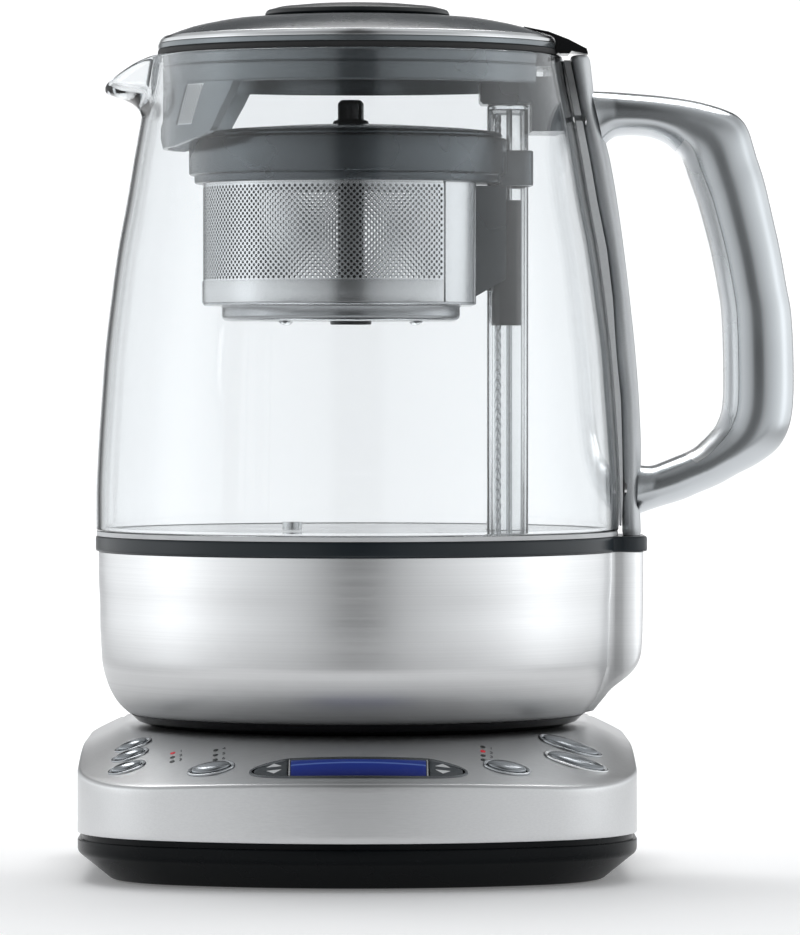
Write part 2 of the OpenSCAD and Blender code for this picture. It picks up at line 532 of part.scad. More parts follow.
// One side of the apron below the spout, from its top corner to its lowest edge
apron = [[47, 238], [45.4, 233.5], [40.8, 223.6], [39.6, 222.5], [35, 221], [28, 219.6], [21, 218.6]];
module lid_skirt() at_jug() color([0.35, 0.38, 0.4]) difference() {
    union() {
        rotate_extrude($fn = 180) polygon([[0, 243], [57.7, 243], [57.7, 237.3], [lid_skirt_r, 237.3], [lid_skirt_r, 248.9], [60.6, 248.9], [60.6, 250.6], [50, 250.6], [50, 248.9], [57.7, 248.9], [57.7, 244.4], [0, 244.4]]);
        intersection() {
            translate([0, 0, 218.6]) difference() {
                cylinder(r = lid_skirt_r, h = 19, $fn = 180);
                translate([0, 0, -1]) cylinder(r = 57.7, h = 21, $fn = 180);
            }
            rotate([90, 0, 90]) translate([0, 0, -70]) linear_extrude(70) polygon(concat(apron, [for (i = [len(apron) - 1:-1:0]) [-apron[i][0], apron[i][1]]]));
        }
        translate([0, 0, 244.3]) cylinder(r = 8, h = 6.4);
    }
    translate([47.9, -26, 230]) cube([20, 52, 16.6]);
    for (s = [-1, 1]) rotate([90, 0, 90]) translate([0, 0, -70]) linear_extrude(40)
        polygon([[s * 24.6, 225], [s * 31.2, 237], [s * 38.4, 237], [s * 33.3, 225]]);
    translate([0, 0, 246]) cylinder(r = 5.05, h = 10);
}
module lid_seal() at_jug() color([0.06, 0.06, 0.07]) translate([0, 0, 247.3]) difference() {
    cylinder(r = 60.7, h = 1.55, $fn = 180);
    translate([0, 0, -1]) cylinder(r = lid_skirt_r + 0.03, h = 4, $fn = 180);
}
module spout_filter() at_jug() color([0.7, 0.71, 0.72]) difference() {
    intersection() {
        translate([0, 0, 224]) difference() {
            cylinder(r = 57.6, h = 14, $fn = 180);
            translate([0, 0, -1]) cylinder(r = 57.1, h = 16, $fn = 180);
        }
        rotate([90, 0, 90]) translate([0, 0, -70]) linear_extrude(70) for (s = [-1, 1])
            polygon([[s * 23, 224], [s * 30.7, 238], [s * 39.9, 238], [s * 34, 224]]);
    }
    for (z = [227:2.5:235], k = [0:3], s = [-1, 1])
        translate([-70, s * (24.6 + 0.55 * (z - 225) + (0.2 + 0.2 * k) * (8.7 - 0.125 * (z - 225))), z]) rotate([0, 90, 0]) cylinder(r = 0.55, h = 40, $fn = 24);
}
module lid_tail() at_jug() color([0.08, 0.09, 0.1]) difference() {
    translate([0, 9, 0]) rotate([90, 0, 0]) linear_extrude(18)
        polygon([[50.5, 255.7], [58, 254.2], [64, 251.9], [69.6, 249], [70, 247.4], [65, 248.3], [64.3, 247.5], [61.3, 247.5], [58, 249.5], [50, 252]]);
    lid_body(0.03);
}

// ---- handle ----
spine_l = [[64.6, 247], [67, 234], [70.6, 215.5], [72.8, 203], [75.8, 188], [77.6, 173], [78.6, 157.6], [80.1, 142], [80.5, 127], [80.7, 112], [80.8, 101.25]];
spine_r = [[86.5, 101.25], [86.2, 112], [86.5, 127], [85.9, 142], [84.7, 157.6], [83.1, 173], [81.3, 188], [79.2, 203], [76.6, 215.5], [72.2, 234], [70.8, 247]];
module handle_spine() at_jug() color([0.68, 0.7, 0.71]) difference() {
    translate([0, 9, 0]) rotate([90, 0, 0]) linear_extrude(18) polygon(concat(spine_l, spine_r));
    for (s = [-1, 1], z = [115.5, 228]) translate([60, s * 5, z]) rotate([0, 90, 0]) {
        cylinder(r = 1.6, h = 40);
        cylinder(r = 3.1, h = z > 200 ? 10.6 : 22.8);
    }
    translate([83.4, 0, 100]) cylinder(r = 1.3, h = 12);
}
module spine_core() at_jug() color([0.1, 0.1, 0.11]) difference() {
    translate([0, 8, 0]) rotate([90, 0, 0]) linear_extrude(16)
        polygon(concat([for (p = glass_o) if (p[1] > 102.8) [p[0] + 0.25, min(p[1], 245.5)]], [for (i = [0:9]) [spine_l[i][0] - 0.02, min(245.5, spine_l[i][1])]], [[80.2, 104]]));
    for (s = [-1, 1]) translate([60, s * 5, 228]) rotate([0, 90, 0]) cylinder(r = 3.1, h = 20);
}
hand_o = [[72.0, 236.3], [81.3, 236], [100.7, 233.8], [110.4, 231.4], [116.3, 228.5], [119.1, 224.6], [124, 209], [128.9, 187.7], [132.3, 168.2], [133, 153.6], [132.8, 141], [131.3, 133.2], [127.9, 127.4], [122.1, 123], [110.4, 116.7], [98.7, 111.8], [91, 109.4], [86.36, 107.9]];
hand_i = [[86.5, 123.5], [88, 122], [93.9, 124], [100.7, 126.9], [105.5, 130.3], [109.5, 135.2], [111.2, 141], [111.4, 153.6], [110.9, 168.2], [108.5, 183.8], [103.6, 202.2], [98.7, 215.8], [93.9, 220.5], [87.1, 222.8], [81.3, 222.9], [77.8, 222.2], [75.7, 219.7]];
liner_in = [[97.2, 217.3], [98.7, 215.8], [103.6, 202.2], [108.5, 183.8], [110.9, 168.2], [111.4, 153.6], [111.2, 141], [109.5, 135.2], [105.5, 130.3], [102, 127.8]];
liner_out = [[104.4, 132], [106.6, 134.6], [107.4, 142], [107.2, 153.2]];
// Moves a run of points along its own right-hand normal by d
function unit(v) = v / norm(v);
function side(p, d) = [for (i = [0:len(p) - 1])
    let(a = p[max(0, i - 1)], b = p[min(len(p) - 1, i + 1)], t = unit(b - a)) p[i] + d * [-t[1], t[0]]];
module liner_zone(g = 0) translate([0, handle_w, 0]) rotate([90, 0, 0]) linear_extrude(2 * handle_w)
    polygon(concat(side(liner_in, -1), [for (i = [len(liner_in) - 1:-1:0]) side(liner_in, 4.3 - g)[i]]));
module hand_solid() translate([0, handle_w / 2, 0]) rotate([90, 0, 0]) linear_extrude(handle_w) polygon(concat(hand_o, hand_i));
module handle_shell() at_jug() color([0.6, 0.62, 0.64]) difference() {
    hand_solid();
    liner_zone();
    translate([0, handle_w / 2 - 2.4, 0]) rotate([90, 0, 0]) linear_extrude(handle_w - 4.8)
        polygon(concat(side(liner_in, 4), [for (p = [[119, 125], [127, 132], [129.6, 141], [130, 153.6], [129.2, 168], [126, 187], [121, 208], [116.6, 222.5], [112, 227], [104, 230]]) p]));
    for (s = [-1, 1], z = [115.5, 228]) translate([60, s * 5, z]) rotate([0, 90, 0]) cylinder(r = 1.3, h = z > 200 ? 34 : 41);
}
module handle_liner() at_jug() color([0.75, 0.77, 0.78]) intersection() { hand_solid(); liner_zone(0.02); }
module handle_screws() at_jug() color([0.7, 0.7, 0.7]) {
    for (s = [-1, 1], z = [115.5, 228]) translate([z > 200 ? 69.2 : 81.2, s * 5, z]) rotate([0, 90, 0]) {
        cylinder(r = 2.8, h = z > 200 ? 1.4 : 1.6);
        cylinder(r = 1.25, h = z > 200 ? 23 : 18);
    }
    translate([83.4, 0, 93.4]) { cylinder(r = 1.25, h = 17); translate([0, 0, 1.2]) cylinder(r = 2.4, h = 2); }
}

base_pan();
base_shell();
base_feet();
base_screws();
cord_gland();
coupler_housing();
coupler_contacts();
control_board();
power_board();
display_module();
display_window();
display_frame();
led_lenses();
button_bezels();
auto_start_button();
keep_warm_button();
basket_button();
tea_type_button();
strength_button();
hot_water_button();
brew_button();
temperature_rocker();
time_rocker();
jug_connector();
jug_foot();
foot_screws();
jug_skirt();
collar_ring();
heater_plate();
heating_element();
temp_sensor();
vessel_seal();
glass_vessel();
column_tube();
guide_rod();
column_bracket();
lift_motor();
drive_belt();
lead_screw();
motor_pulley();
carriage();
magnets();
basket_ring();
basket_bracket();
basket_wall();
basket_floor();
basket_lid();
basket_stem();
lid_cap();
lid_band();
lid_knob();
lid_skirt();
lid_seal();
spout_filter();
lid_tail();
handle_spine();
spine_core();
handle_shell();
handle_liner();
handle_screws();
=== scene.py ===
import math
import bpy
from mathutils import Vector, Matrix


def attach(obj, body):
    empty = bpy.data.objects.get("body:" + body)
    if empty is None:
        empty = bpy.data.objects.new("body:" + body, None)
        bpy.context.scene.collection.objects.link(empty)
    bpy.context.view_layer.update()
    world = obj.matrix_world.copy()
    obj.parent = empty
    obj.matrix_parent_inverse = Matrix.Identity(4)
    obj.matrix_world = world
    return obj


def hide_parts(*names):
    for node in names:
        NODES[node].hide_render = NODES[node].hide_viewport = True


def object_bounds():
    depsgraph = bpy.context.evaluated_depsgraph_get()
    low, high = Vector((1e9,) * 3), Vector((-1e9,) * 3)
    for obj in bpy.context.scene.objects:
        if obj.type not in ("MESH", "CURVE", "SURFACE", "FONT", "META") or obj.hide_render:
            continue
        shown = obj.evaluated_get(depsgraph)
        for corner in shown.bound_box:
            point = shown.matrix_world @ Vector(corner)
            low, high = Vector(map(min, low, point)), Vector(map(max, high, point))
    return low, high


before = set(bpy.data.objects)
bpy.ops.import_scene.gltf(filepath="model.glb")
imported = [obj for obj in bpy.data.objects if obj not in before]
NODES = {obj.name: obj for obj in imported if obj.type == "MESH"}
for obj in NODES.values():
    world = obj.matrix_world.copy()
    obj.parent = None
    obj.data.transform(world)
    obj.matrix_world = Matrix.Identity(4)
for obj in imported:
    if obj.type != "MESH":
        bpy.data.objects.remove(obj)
CAD_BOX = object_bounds()

# The jug's axis stands here in the row frame; every length below is in millimetres from it.
JX, JY = -0.0248, 0.006


def M(x, y, z):
    return (x * 0.001 + JX, y * 0.001 + JY, z * 0.001)


# ------------------------------------------------------------------ camera
cam_data = bpy.data.cameras.new("camera")
cam_data.sensor_width = 36.0
cam_data.lens = 246.4
cam_data.clip_start = 0.05
cam_data.clip_end = 30.0
cam = bpy.data.objects.new("camera", cam_data)
cam.location = (JX, JY - 1.951, 0.153)
aim = Vector((JX + 0.0130, JY, 0.1218))
cam.rotation_euler = (aim - cam.location).to_track_quat("-Z", "Y").to_euler()
bpy.context.scene.collection.objects.link(cam)
bpy.context.scene.camera = cam
bpy.context.scene.view_settings.view_transform = "Standard"


# ------------------------------------------------------------------ small maths
def lerp(a, b, t):
    return a + (b - a) * t


def interp(table, x):
    """Piecewise linear value of a table [(x, y), ...] with rising x."""
    if x <= table[0][0]:
        return table[0][1]
    for (x0, y0), (x1, y1) in zip(table, table[1:]):
        if x <= x1:
            return y0 + (y1 - y0) * (x - x0) / (x1 - x0)
    return table[-1][1]


def smooth_table(table, x):
    """Monotone cubic value of a table [(x, y), ...] with rising x."""
    n = len(table)
    if x <= table[0][0]:
        return table[0][1]
    if x >= table[-1][0]:
        return table[-1][1]
    for i in range(n - 1):
        if x <= table[i + 1][0]:
            break
    d = [(table[k + 1][1] - table[k][1]) / (table[k + 1][0] - table[k][0]) for k in range(n - 1)]

    def tangent(k):
        if k == 0:
            return d[0]
        if k == n - 1:
            return d[-1]
        if d[k - 1] * d[k] <= 0:
            return 0.0
        return 2 * d[k - 1] * d[k] / (d[k - 1] + d[k])

    h = table[i + 1][0] - table[i][0]
    t = (x - table[i][0]) / h
    m0, m1 = tangent(i) * h, tangent(i + 1) * h
    y0, y1 = table[i][1], table[i + 1][1]
    return (2 * t**3 - 3 * t**2 + 1) * y0 + (t**3 - 2 * t**2 + t) * m0 + (-2 * t**3 + 3 * t**2) * y1 + (t**3 - t**2) * m1


def catmull(points, per=6, closed=False):
    """A smooth curve through points of any dimension."""
    n = len(points)
    out = []
    spans = n if closed else n - 1
    for i in range(spans):
        p = [points[(i + k) % n] if closed else points[min(max(i + k, 0), n - 1)] for k in (-1, 0, 1, 2)]
        for s in range(per):
            t = s / per
            out.append(tuple(
                0.5 * (2 * b + (c - a) * t + (2 * a - 5 * b + 4 * c - d) * t * t + (3 * b - a - 3 * c + d) * t**3)
                for a, b, c, d in zip(*p)))
    if not closed:
        out.append(tuple(points[-1]))
    return out


def fillet(points, r, closed=True, seg=5):
    """Rounds each corner of a 2D outline; r is one radius or one for each corner."""
    n = len(points)
    rs = r if isinstance(r, (list, tuple)) else [r] * n
    out = []
    for i, p in enumerate(points):
        if not closed and i in (0, n - 1) or rs[i] <= 0:
            out.append(tuple(p))
            continue
        a, b, c = Vector(points[i - 1]), Vector(p), Vector(points[(i + 1) % n])
        u, v = (a - b), (c - b)
        lu, lv = u.length, v.length
        u.normalize(), v.normalize()
        cosang = max(-1.0, min(1.0, u.dot(v)))
        half = math.acos(cosang) / 2
        if half > math.radians(88):
            out.append(tuple(p))
            continue
        d = min(rs[i] / math.tan(half), lu * 0.48, lv * 0.48)
        p0, p1 = b + u * d, b + v * d
        for k in range(seg + 1):
            t = k / seg
            q = p0 * (1 - t) ** 2 + b * 2 * t * (1 - t) + p1 * t * t
            out.append((q.x, q.y))
    return out


# ------------------------------------------------------------------ mesh helpers
def add_piece(name, verts, faces, mat, body, replaces=(), sharp=35, raw=False):
    me = bpy.data.meshes.new(name)
    me.from_pydata([v if raw else M(*v) for v in verts], [], faces)
    me.validate()
    me.polygons.foreach_set("use_smooth", [True] * len(me.polygons))
    if sharp:
        me.set_sharp_from_angle(angle=math.radians(sharp))
    me.materials.append(mat)
    me.update()
    ob = bpy.data.objects.new(name, me)
    bpy.context.scene.collection.objects.link(ob)
    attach(ob, body)
    if replaces:
        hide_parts(*replaces)
    return ob


def grid_faces(rows, cols, close_u=True, close_v=False, start=0, flip=False):
    faces = []
    for i in range(rows if close_v else rows - 1):
        i2 = (i + 1) % rows
        for j in range(cols if close_u else cols - 1):
            j2 = (j + 1) % cols
            f = (start + i * cols + j, start + i * cols + j2, start + i2 * cols + j2, start + i2 * cols + j)
            faces.append(f[::-1] if flip else f)
    return faces


def lathe(name, prof, mat, body, cx=0.0, cy=0.0, seg=160, replaces=(), a0=0.0, a1=360.0, sharp=35):
    """Turns a closed outline [(r, z), ...] about a vertical axis. r = 0 points become poles."""
    full = abs(a1 - a0 - 360) < 1e-6
    cols = seg if full else seg + 1
    verts, index = [], []
    for r, z in prof:
        if r < 1e-6:
            index.append([len(verts)] * cols)
            verts.append((cx, cy, z))
        else:
            row = []
            for j in range(cols):
                a = math.radians(a0 + (a1 - a0) * j / seg)
                row.append(len(verts))
                verts.append((cx + r * math.cos(a), cy + r * math.sin(a), z))
            index.append(row)
    faces = []
    n = len(prof)
    for i in range(n):
        r0, r1 = index[i], index[(i + 1) % n]
        if len(set(r0)) == 1 and len(set(r1)) == 1:
            continue
        for j in range(seg):
            j2 = (j + 1) % cols
            f = [r0[j], r0[j2], r1[j2], r1[j]]
            f = list(dict.fromkeys(f))
            if len(f) > 2:
                faces.append(tuple(f))
    if not full:
        faces.append(tuple(index[i][0] for i in range(n)))
        faces.append(tuple(index[i][cols - 1] for i in reversed(range(n))))
    ob = add_piece(name, verts, faces, mat, body, replaces, sharp)
    fix_normals(ob)
    return ob


def fix_normals(ob):
    import bmesh
    bm = bmesh.new()
    bm.from_mesh(ob.data)
    bmesh.ops.recalc_face_normals(bm, faces=bm.faces)
    bm.to_mesh(ob.data)
    bm.free()
    ob.data.update()


def sweep(name, stations, mat, body, expo=2.6, n=40, replaces=(), sharp=40, fn=None):
    """Stations are (ox, oz, ix, iz, half width in Y): sections between an outer and an inner point."""
    verts, faces = [], []
    for k, (ox, oz, ix, iz, hw) in enumerate(stations):
        cx, cz = (ox + ix) / 2, (oz + iz) / 2
        ax, az = (ox - ix) / 2, (oz - iz) / 2
        for j in range(n):
            a = 2 * math.pi * j / n
            c, s = math.cos(a), math.sin(a)
            e = 2 / expo
            u = math.copysign(abs(c) ** e, c)
            v = math.copysign(abs(s) ** e, s)
            if fn:
                u, v = fn(k / (len(stations) - 1), u, v)
            verts.append((cx + ax * u, hw * v, cz + az * u))
    faces = grid_faces(len(stations), n)
    faces.append(tuple(range(n))[::-1])
    faces.append(tuple(range(n * (len(stations) - 1), n * len(stations))))
    ob = add_piece(name, verts, faces, mat, body, replaces, sharp)
    fix_normals(ob)
    return ob


def prism_piece(name, outline, y0, y1, mat, body, replaces=(), bevel=0.0, plane="XZ"):
    """An outline [(x, z)] pushed along Y, or [(x, y)] pushed along Z, with bevelled edges."""
    n = len(outline)
    if plane == "XZ":
        verts = [(x, y0, z) for x, z in outline] + [(x, y1, z) for x, z in outline]
    else:
        verts = [(x, y, y0) for x, y in outline] + [(x, y, y1) for x, y in outline]
    faces = [tuple(range(n)), tuple(range(2 * n - 1, n - 1, -1))]
    faces += [(i, (i + 1) % n, n + (i + 1) % n, n + i) for i in range(n)]
    ob = add_piece(name, verts, faces, mat, body, replaces, 35)
    fix_normals(ob)
    if bevel > 0:
        m = ob.modifiers.new("bevel", "BEVEL")
        m.width = bevel * 0.001
        m.segments = 3
        m.limit_method = "ANGLE"
        m.angle_limit = math.radians(40)
        m.harden_normals = False
    return ob


# ------------------------------------------------------------------ materials
def nodes_of(name):
    mat = bpy.data.materials.new(name)
    mat.use_nodes = True
    nt = mat.node_tree
    nt.nodes.clear()
    out = nt.nodes.new("ShaderNodeOutputMaterial")
    bsdf = nt.nodes.new("ShaderNodeBsdfPrincipled")
    nt.links.new(bsdf.outputs[0], out.inputs[0])
    return mat, nt, bsdf


def coords(nt, scale=(1, 1, 1), loc=(0, 0, 0)):
    tc = nt.nodes.new("ShaderNodeTexCoord")
    mp = nt.nodes.new("ShaderNodeMapping")
    mp.inputs["Scale"].default_value = scale
    mp.inputs["Location"].default_value = loc
    nt.links.new(tc.outputs["Object"], mp.inputs[0])
    return mp.outputs[0]


def noise(nt, vec, scale=1.0, detail=3.0, rough=0.5):
    n = nt.nodes.new("ShaderNodeTexNoise")
    n.inputs["Scale"].default_value = scale
    n.inputs["Detail"].default_value = detail
    n.inputs["Roughness"].default_value = rough
    nt.links.new(vec, n.inputs["Vector"])
    return n.outputs["Fac"]


def map_range(nt, value, lo, hi, a=0.3, b=0.7):
    m = nt.nodes.new("ShaderNodeMapRange")
    m.inputs["From Min"].default_value = a
    m.inputs["From Max"].default_value = b
    m.inputs["To Min"].default_value = lo
    m.inputs["To Max"].default_value = hi
    nt.links.new(value, m.inputs["Value"])
    return m.outputs[0]


def mix_colour(nt, fac, a, b):
    m = nt.nodes.new("ShaderNodeMix")
    m.data_type = "RGBA"
    m.inputs["A"].default_value = (*a, 1)
    m.inputs["B"].default_value = (*b, 1)
    nt.links.new(fac, m.inputs["Factor"])
    return m.outputs["Result"]


def bump(nt, bsdf, height, strength, dist=0.0002):
    b = nt.nodes.new("ShaderNodeBump")
    b.inputs["Strength"].default_value = strength
    b.inputs["Distance"].default_value = dist
    nt.links.new(height, b.inputs["Height"])
    nt.links.new(b.outputs[0], bsdf.inputs["Normal"])


def brushed(name, base=(0.60, 0.61, 0.62), rough=0.30, spread=0.10, aniso=0.55, streak=(7, 7, 2600), tint=0.10, strength=0.10):
    """Brushed metal: long thin streaks in the colour, the roughness and the relief."""
    mat, nt, b = nodes_of(name)
    v = coords(nt, streak)
    n1 = noise(nt, v, 1.0, 4.0, 0.6)
    v2 = coords(nt, tuple(c * 0.35 for c in streak), (3.1, 1.7, 0.4))
    n2 = noise(nt, v2, 1.0, 2.0, 0.5)
    dark = tuple(c * (1 - tint) for c in base)
    light = tuple(min(1.0, c * (1 + tint)) for c in base)
    col = mix_colour(nt, map_range(nt, n1, 0, 1, 0.25, 0.75), dark, light)
    nt.links.new(col, b.inputs["Base Color"])
    nt.links.new(map_range(nt, n2, rough - spread / 2, rough + spread / 2), b.inputs["Roughness"])
    b.inputs["Metallic"].default_value = 1.0
    b.inputs["Anisotropic"].default_value = aniso
    tan = nt.nodes.new("ShaderNodeTangent")
    tan.direction_type = "RADIAL"
    tan.axis = "Z"
    nt.links.new(tan.outputs[0], b.inputs["Tangent"])
    bump(nt, b, n1, strength, 0.00004)
    return mat


def satin_metal(name, base=(0.66, 0.67, 0.68), rough=0.24, strength=0.05):
    mat, nt, b = nodes_of(name)
    n1 = noise(nt, coords(nt, (900, 900, 900)), 1.0, 3.0)
    n2 = noise(nt, coords(nt, (30, 30, 30)), 1.0, 2.0)
    col = mix_colour(nt, map_range(nt, n2, 0, 1), tuple(c * 0.95 for c in base), tuple(min(1, c * 1.04) for c in base))
    nt.links.new(col, b.inputs["Base Color"])
    nt.links.new(map_range(nt, n2, rough - 0.03, rough + 0.04), b.inputs["Roughness"])
    b.inputs["Metallic"].default_value = 1.0
    bump(nt, b, n1, strength, 0.00003)
    return mat


def chrome(name, base=(0.82, 0.83, 0.84), rough=0.06):
    return satin_metal(name, base, rough, 0.01)


def plastic(name, base, rough=0.38, grain=0.10, coat=0.0, vary=0.10, grain_scale=1400, spec=0.5):
    """Moulded plastic: fine spark-eroded grain and slight cloudiness."""
    mat, nt, b = nodes_of(name)
    n1 = noise(nt, coords(nt, (grain_scale,) * 3), 1.0, 2.0)
    n2 = noise(nt, coords(nt, (45, 45, 45)), 1.0, 3.0)
    col = mix_colour(nt, map_range(nt, n2, 0, 1), tuple(c * (1 - vary) for c in base), tuple(min(1, c * (1 + vary)) for c in base))
    nt.links.new(col, b.inputs["Base Color"])
    nt.links.new(map_range(nt, n2, rough - 0.04, rough + 0.05), b.inputs["Roughness"])
    b.inputs["Coat Weight"].default_value = coat
    b.inputs["Coat Roughness"].default_value = 0.08
    b.inputs["Specular IOR Level"].default_value = spec
    bump(nt, b, n1, grain, 0.00005)
    return mat


def rubber(name, base):
    return plastic(name, base, 0.62, 0.25, 0.0, 0.12, 900)


def glass(name, colour=(0.99, 0.996, 0.998), rough=0.0, ior=1.47, absorb=0.0):
    mat, nt, b = nodes_of(name)
    n = noise(nt, coords(nt, (60, 60, 14)), 1.0, 1.0)
    col = mix_colour(nt, map_range(nt, n, 0, 1), tuple(c * 0.995 for c in colour), colour)
    nt.links.new(col, b.inputs["Base Color"])
    b.inputs["Roughness"].default_value = rough
    b.inputs["IOR"].default_value = ior
    b.inputs["Transmission Weight"].default_value = 1.0
    if absorb:
        vol = nt.nodes.new("ShaderNodeVolumeAbsorption")
        vol.inputs["Color"].default_value = (0.64, 0.67, 0.69, 1)
        vol.inputs["Density"].default_value = absorb
        out = [k for k in nt.nodes if k.bl_idname == "ShaderNodeOutputMaterial"][0]
        nt.links.new(vol.outputs[0], out.inputs["Volume"])
    bump(nt, b, n, 0.01, 0.0001)
    return mat


def circuit(name):
    mat, nt, b = nodes_of(name)
    v = coords(nt, (1, 1, 1))
    br = nt.nodes.new("ShaderNodeTexBrick")
    br.inputs["Scale"].default_value = 180
    br.inputs["Color1"].default_value = (0.02, 0.13, 0.06, 1)
    br.inputs["Color2"].default_value = (0.03, 0.18, 0.08, 1)
    br.inputs["Mortar"].default_value = (0.10, 0.32, 0.14, 1)
    nt.links.new(v, br.inputs["Vector"])
    nt.links.new(br.outputs["Color"], b.inputs["Base Color"])
    b.inputs["Roughness"].default_value = 0.35
    return mat


# shared materials
STEEL_V = brushed("brushed_steel_skirt", (0.80, 0.805, 0.81), 0.30, 0.05, 0.5, (6, 6, 3200), 0.045, 0.05)
_nt = STEEL_V.node_tree
_bsdf = [k for k in _nt.nodes if k.bl_idname == "ShaderNodeBsdfPrincipled"][0]
_was = _bsdf.inputs["Roughness"].links[0].from_socket
_sep = _nt.nodes.new("ShaderNodeSeparateXYZ")
_nt.links.new(coords(_nt), _sep.inputs[0])
_sum = _nt.nodes.new("ShaderNodeMath")
_nt.links.new(_was, _sum.inputs[0])
_nt.links.new(map_range(_nt, _sep.outputs["Z"], 0.26, 0.0, 0.051, 0.062), _sum.inputs[1])
_nt.links.new(_sum.outputs[0], _bsdf.inputs["Roughness"])


def toned(mat, level):
    """Paints shade into a material: scales its base colour by a level that changes with height."""
    nt = mat.node_tree
    b = [k for k in nt.nodes if k.bl_idname == "ShaderNodeBsdfPrincipled"][0]
    was = b.inputs["Base Color"].links[0].from_socket
    sep = nt.nodes.new("ShaderNodeSeparateXYZ")
    nt.links.new(coords(nt), sep.inputs[0])
    sc = nt.nodes.new("ShaderNodeVectorMath")
    sc.operation = "SCALE"
    nt.links.new(was, sc.inputs[0])
    nt.links.new(map_range(nt, sep.outputs["Z"], *level), sc.inputs["Scale"])
    nt.links.new(sc.outputs[0], b.inputs["Base Color"])
    return mat


# painted shade: the skirt's base colour is darkened to 0.62 at its lower curve, below 53 mm
toned(STEEL_V, (0.62, 1.0, 0.053, 0.071))
STEEL_H = brushed("brushed_steel_cover", (0.65, 0.655, 0.66), 0.32, 0.05, 0.35, (8, 2600, 2600), 0.045, 0.05)
SATIN = satin_metal("satin_metal", (0.74, 0.75, 0.76), 0.36)
SATIN_HANDLE = satin_metal("satin_handle", (0.60, 0.625, 0.645), 0.22)
BRIGHT = satin_metal("bright_satin", (0.80, 0.81, 0.82), 0.16)
CHROME = chrome("chrome")
STEEL_PLAIN = satin_metal("plain_steel", (0.70, 0.705, 0.71), 0.18)
DISH_STEEL = satin_metal("dish_steel", (0.46, 0.47, 0.48), 0.20)
COLLAR = plastic("collar_plastic", (0.011, 0.017, 0.022), 0.30, 0.06, 0.0, 0.1, 1400, 0.35)
BLACK = plastic("black_plastic", (0.010, 0.011, 0.013), 0.30, 0.06)
BLACK_GLOSS = plastic("black_gloss", (0.006, 0.006, 0.007), 0.16, 0.02, 0.0, 0.1, 1400, 0.4)
DISC = plastic("disc_plastic", (0.012, 0.015, 0.017), 0.34, 0.08, 0.0, 0.1, 1400, 0.45)
PAN = plastic("pan_plastic", (0.0028, 0.004, 0.005), 0.27, 0.04, 0.0, 0.1, 1400, 0.11)


def metallic_paint(name, base, rough=0.26, metallic=0.75, coat=0.2):
    """Dark paint with fine flakes."""
    mat, nt, b = nodes_of(name)
    fl = noise(nt, coords(nt, (3800, 3800, 3800)), 1.0, 2.0)
    cl = noise(nt, coords(nt, (40, 40, 40)), 1.0, 2.0)
    col = mix_colour(nt, map_range(nt, fl, 0, 1), tuple(c * 0.94 for c in base), tuple(min(1, c * 1.05) for c in base))
    nt.links.new(col, b.inputs["Base Color"])
    nt.links.new(map_range(nt, cl, rough - 0.03, rough + 0.04), b.inputs["Roughness"])
    b.inputs["Metallic"].default_value = metallic
    b.inputs["Coat Weight"].default_value = coat
    b.inputs["Coat Roughness"].default_value = 0.1
    bump(nt, b, fl, 0.015, 0.00003)
    return mat


RUBBER = rubber("rubber", (0.02, 0.02, 0.021))
GREY_PLASTIC = metallic_paint("grey_plastic", (0.125, 0.142, 0.155), 0.27)
GREY_LID = metallic_paint("lid_grey_plastic", (0.125, 0.145, 0.160), 0.22)
GREY_WALL = metallic_paint("lid_wall_plastic", (0.20, 0.222, 0.236), 0.24)
DOME_GREY = plastic("dome_plastic", (0.035, 0.043, 0.050), 0.27, 0.03, 0.0, 0.1, 1400, 0.40)
SPINE_METAL = metallic_paint("spine_metal", (0.72, 0.74, 0.755), 0.38, 0.22, 0.0)
# painted shade: the spine core's base colour falls to a quarter towards its top, above 222 mm, near the lid
CORE_GREY = toned(metallic_paint("core_grey", (0.88, 0.90, 0.91), 0.45, 0.12, 0.0), (1.0, 0.25, 0.222, 0.238))
SILICONE = rubber("silicone", (0.66, 0.67, 0.68))
GLASS = glass("jug_glass", absorb=120)
CLEAR = glass("clear_tube", (0.985, 0.99, 0.992), 0.0, 1.45, 60)
BOARD = circuit("circuit_board")
BRASS = satin_metal("brass", (0.70, 0.52, 0.22), 0.22)
CAST = satin_metal("cast_aluminium", (0.50, 0.50, 0.51), 0.45, 0.25)
BELT = rubber("belt_rubber", (0.012, 0.012, 0.012))
FILTER = satin_metal("filter_steel", (0.72, 0.73, 0.74), 0.22)


def simple(name, colour, rough=0.4, emit=0.0):
    mat, nt, b = nodes_of(name)
    n = noise(nt, coords(nt, (200, 200, 200)), 1.0, 2.0)
    col = mix_colour(nt, map_range(nt, n, 0, 1), tuple(c * 0.93 for c in colour), colour)
    nt.links.new(col, b.inputs["Base Color"])
    b.inputs["Roughness"].default_value = rough
    if emit:
        nt.links.new(col, b.inputs["Emission Color"])
        b.inputs["Emission Strength"].default_value = emit
    return mat


WHITE_INK = simple("white_ink", (0.85, 0.86, 0.87), 0.5)
DARK_INK = simple("dark_ink", (0.06, 0.065, 0.07), 0.5)
LED_DARK = simple("led_dark", (0.025, 0.03, 0.03), 0.2)
LED_RED = simple("led_red", (0.62, 0.02, 0.035), 0.25, 0.22)


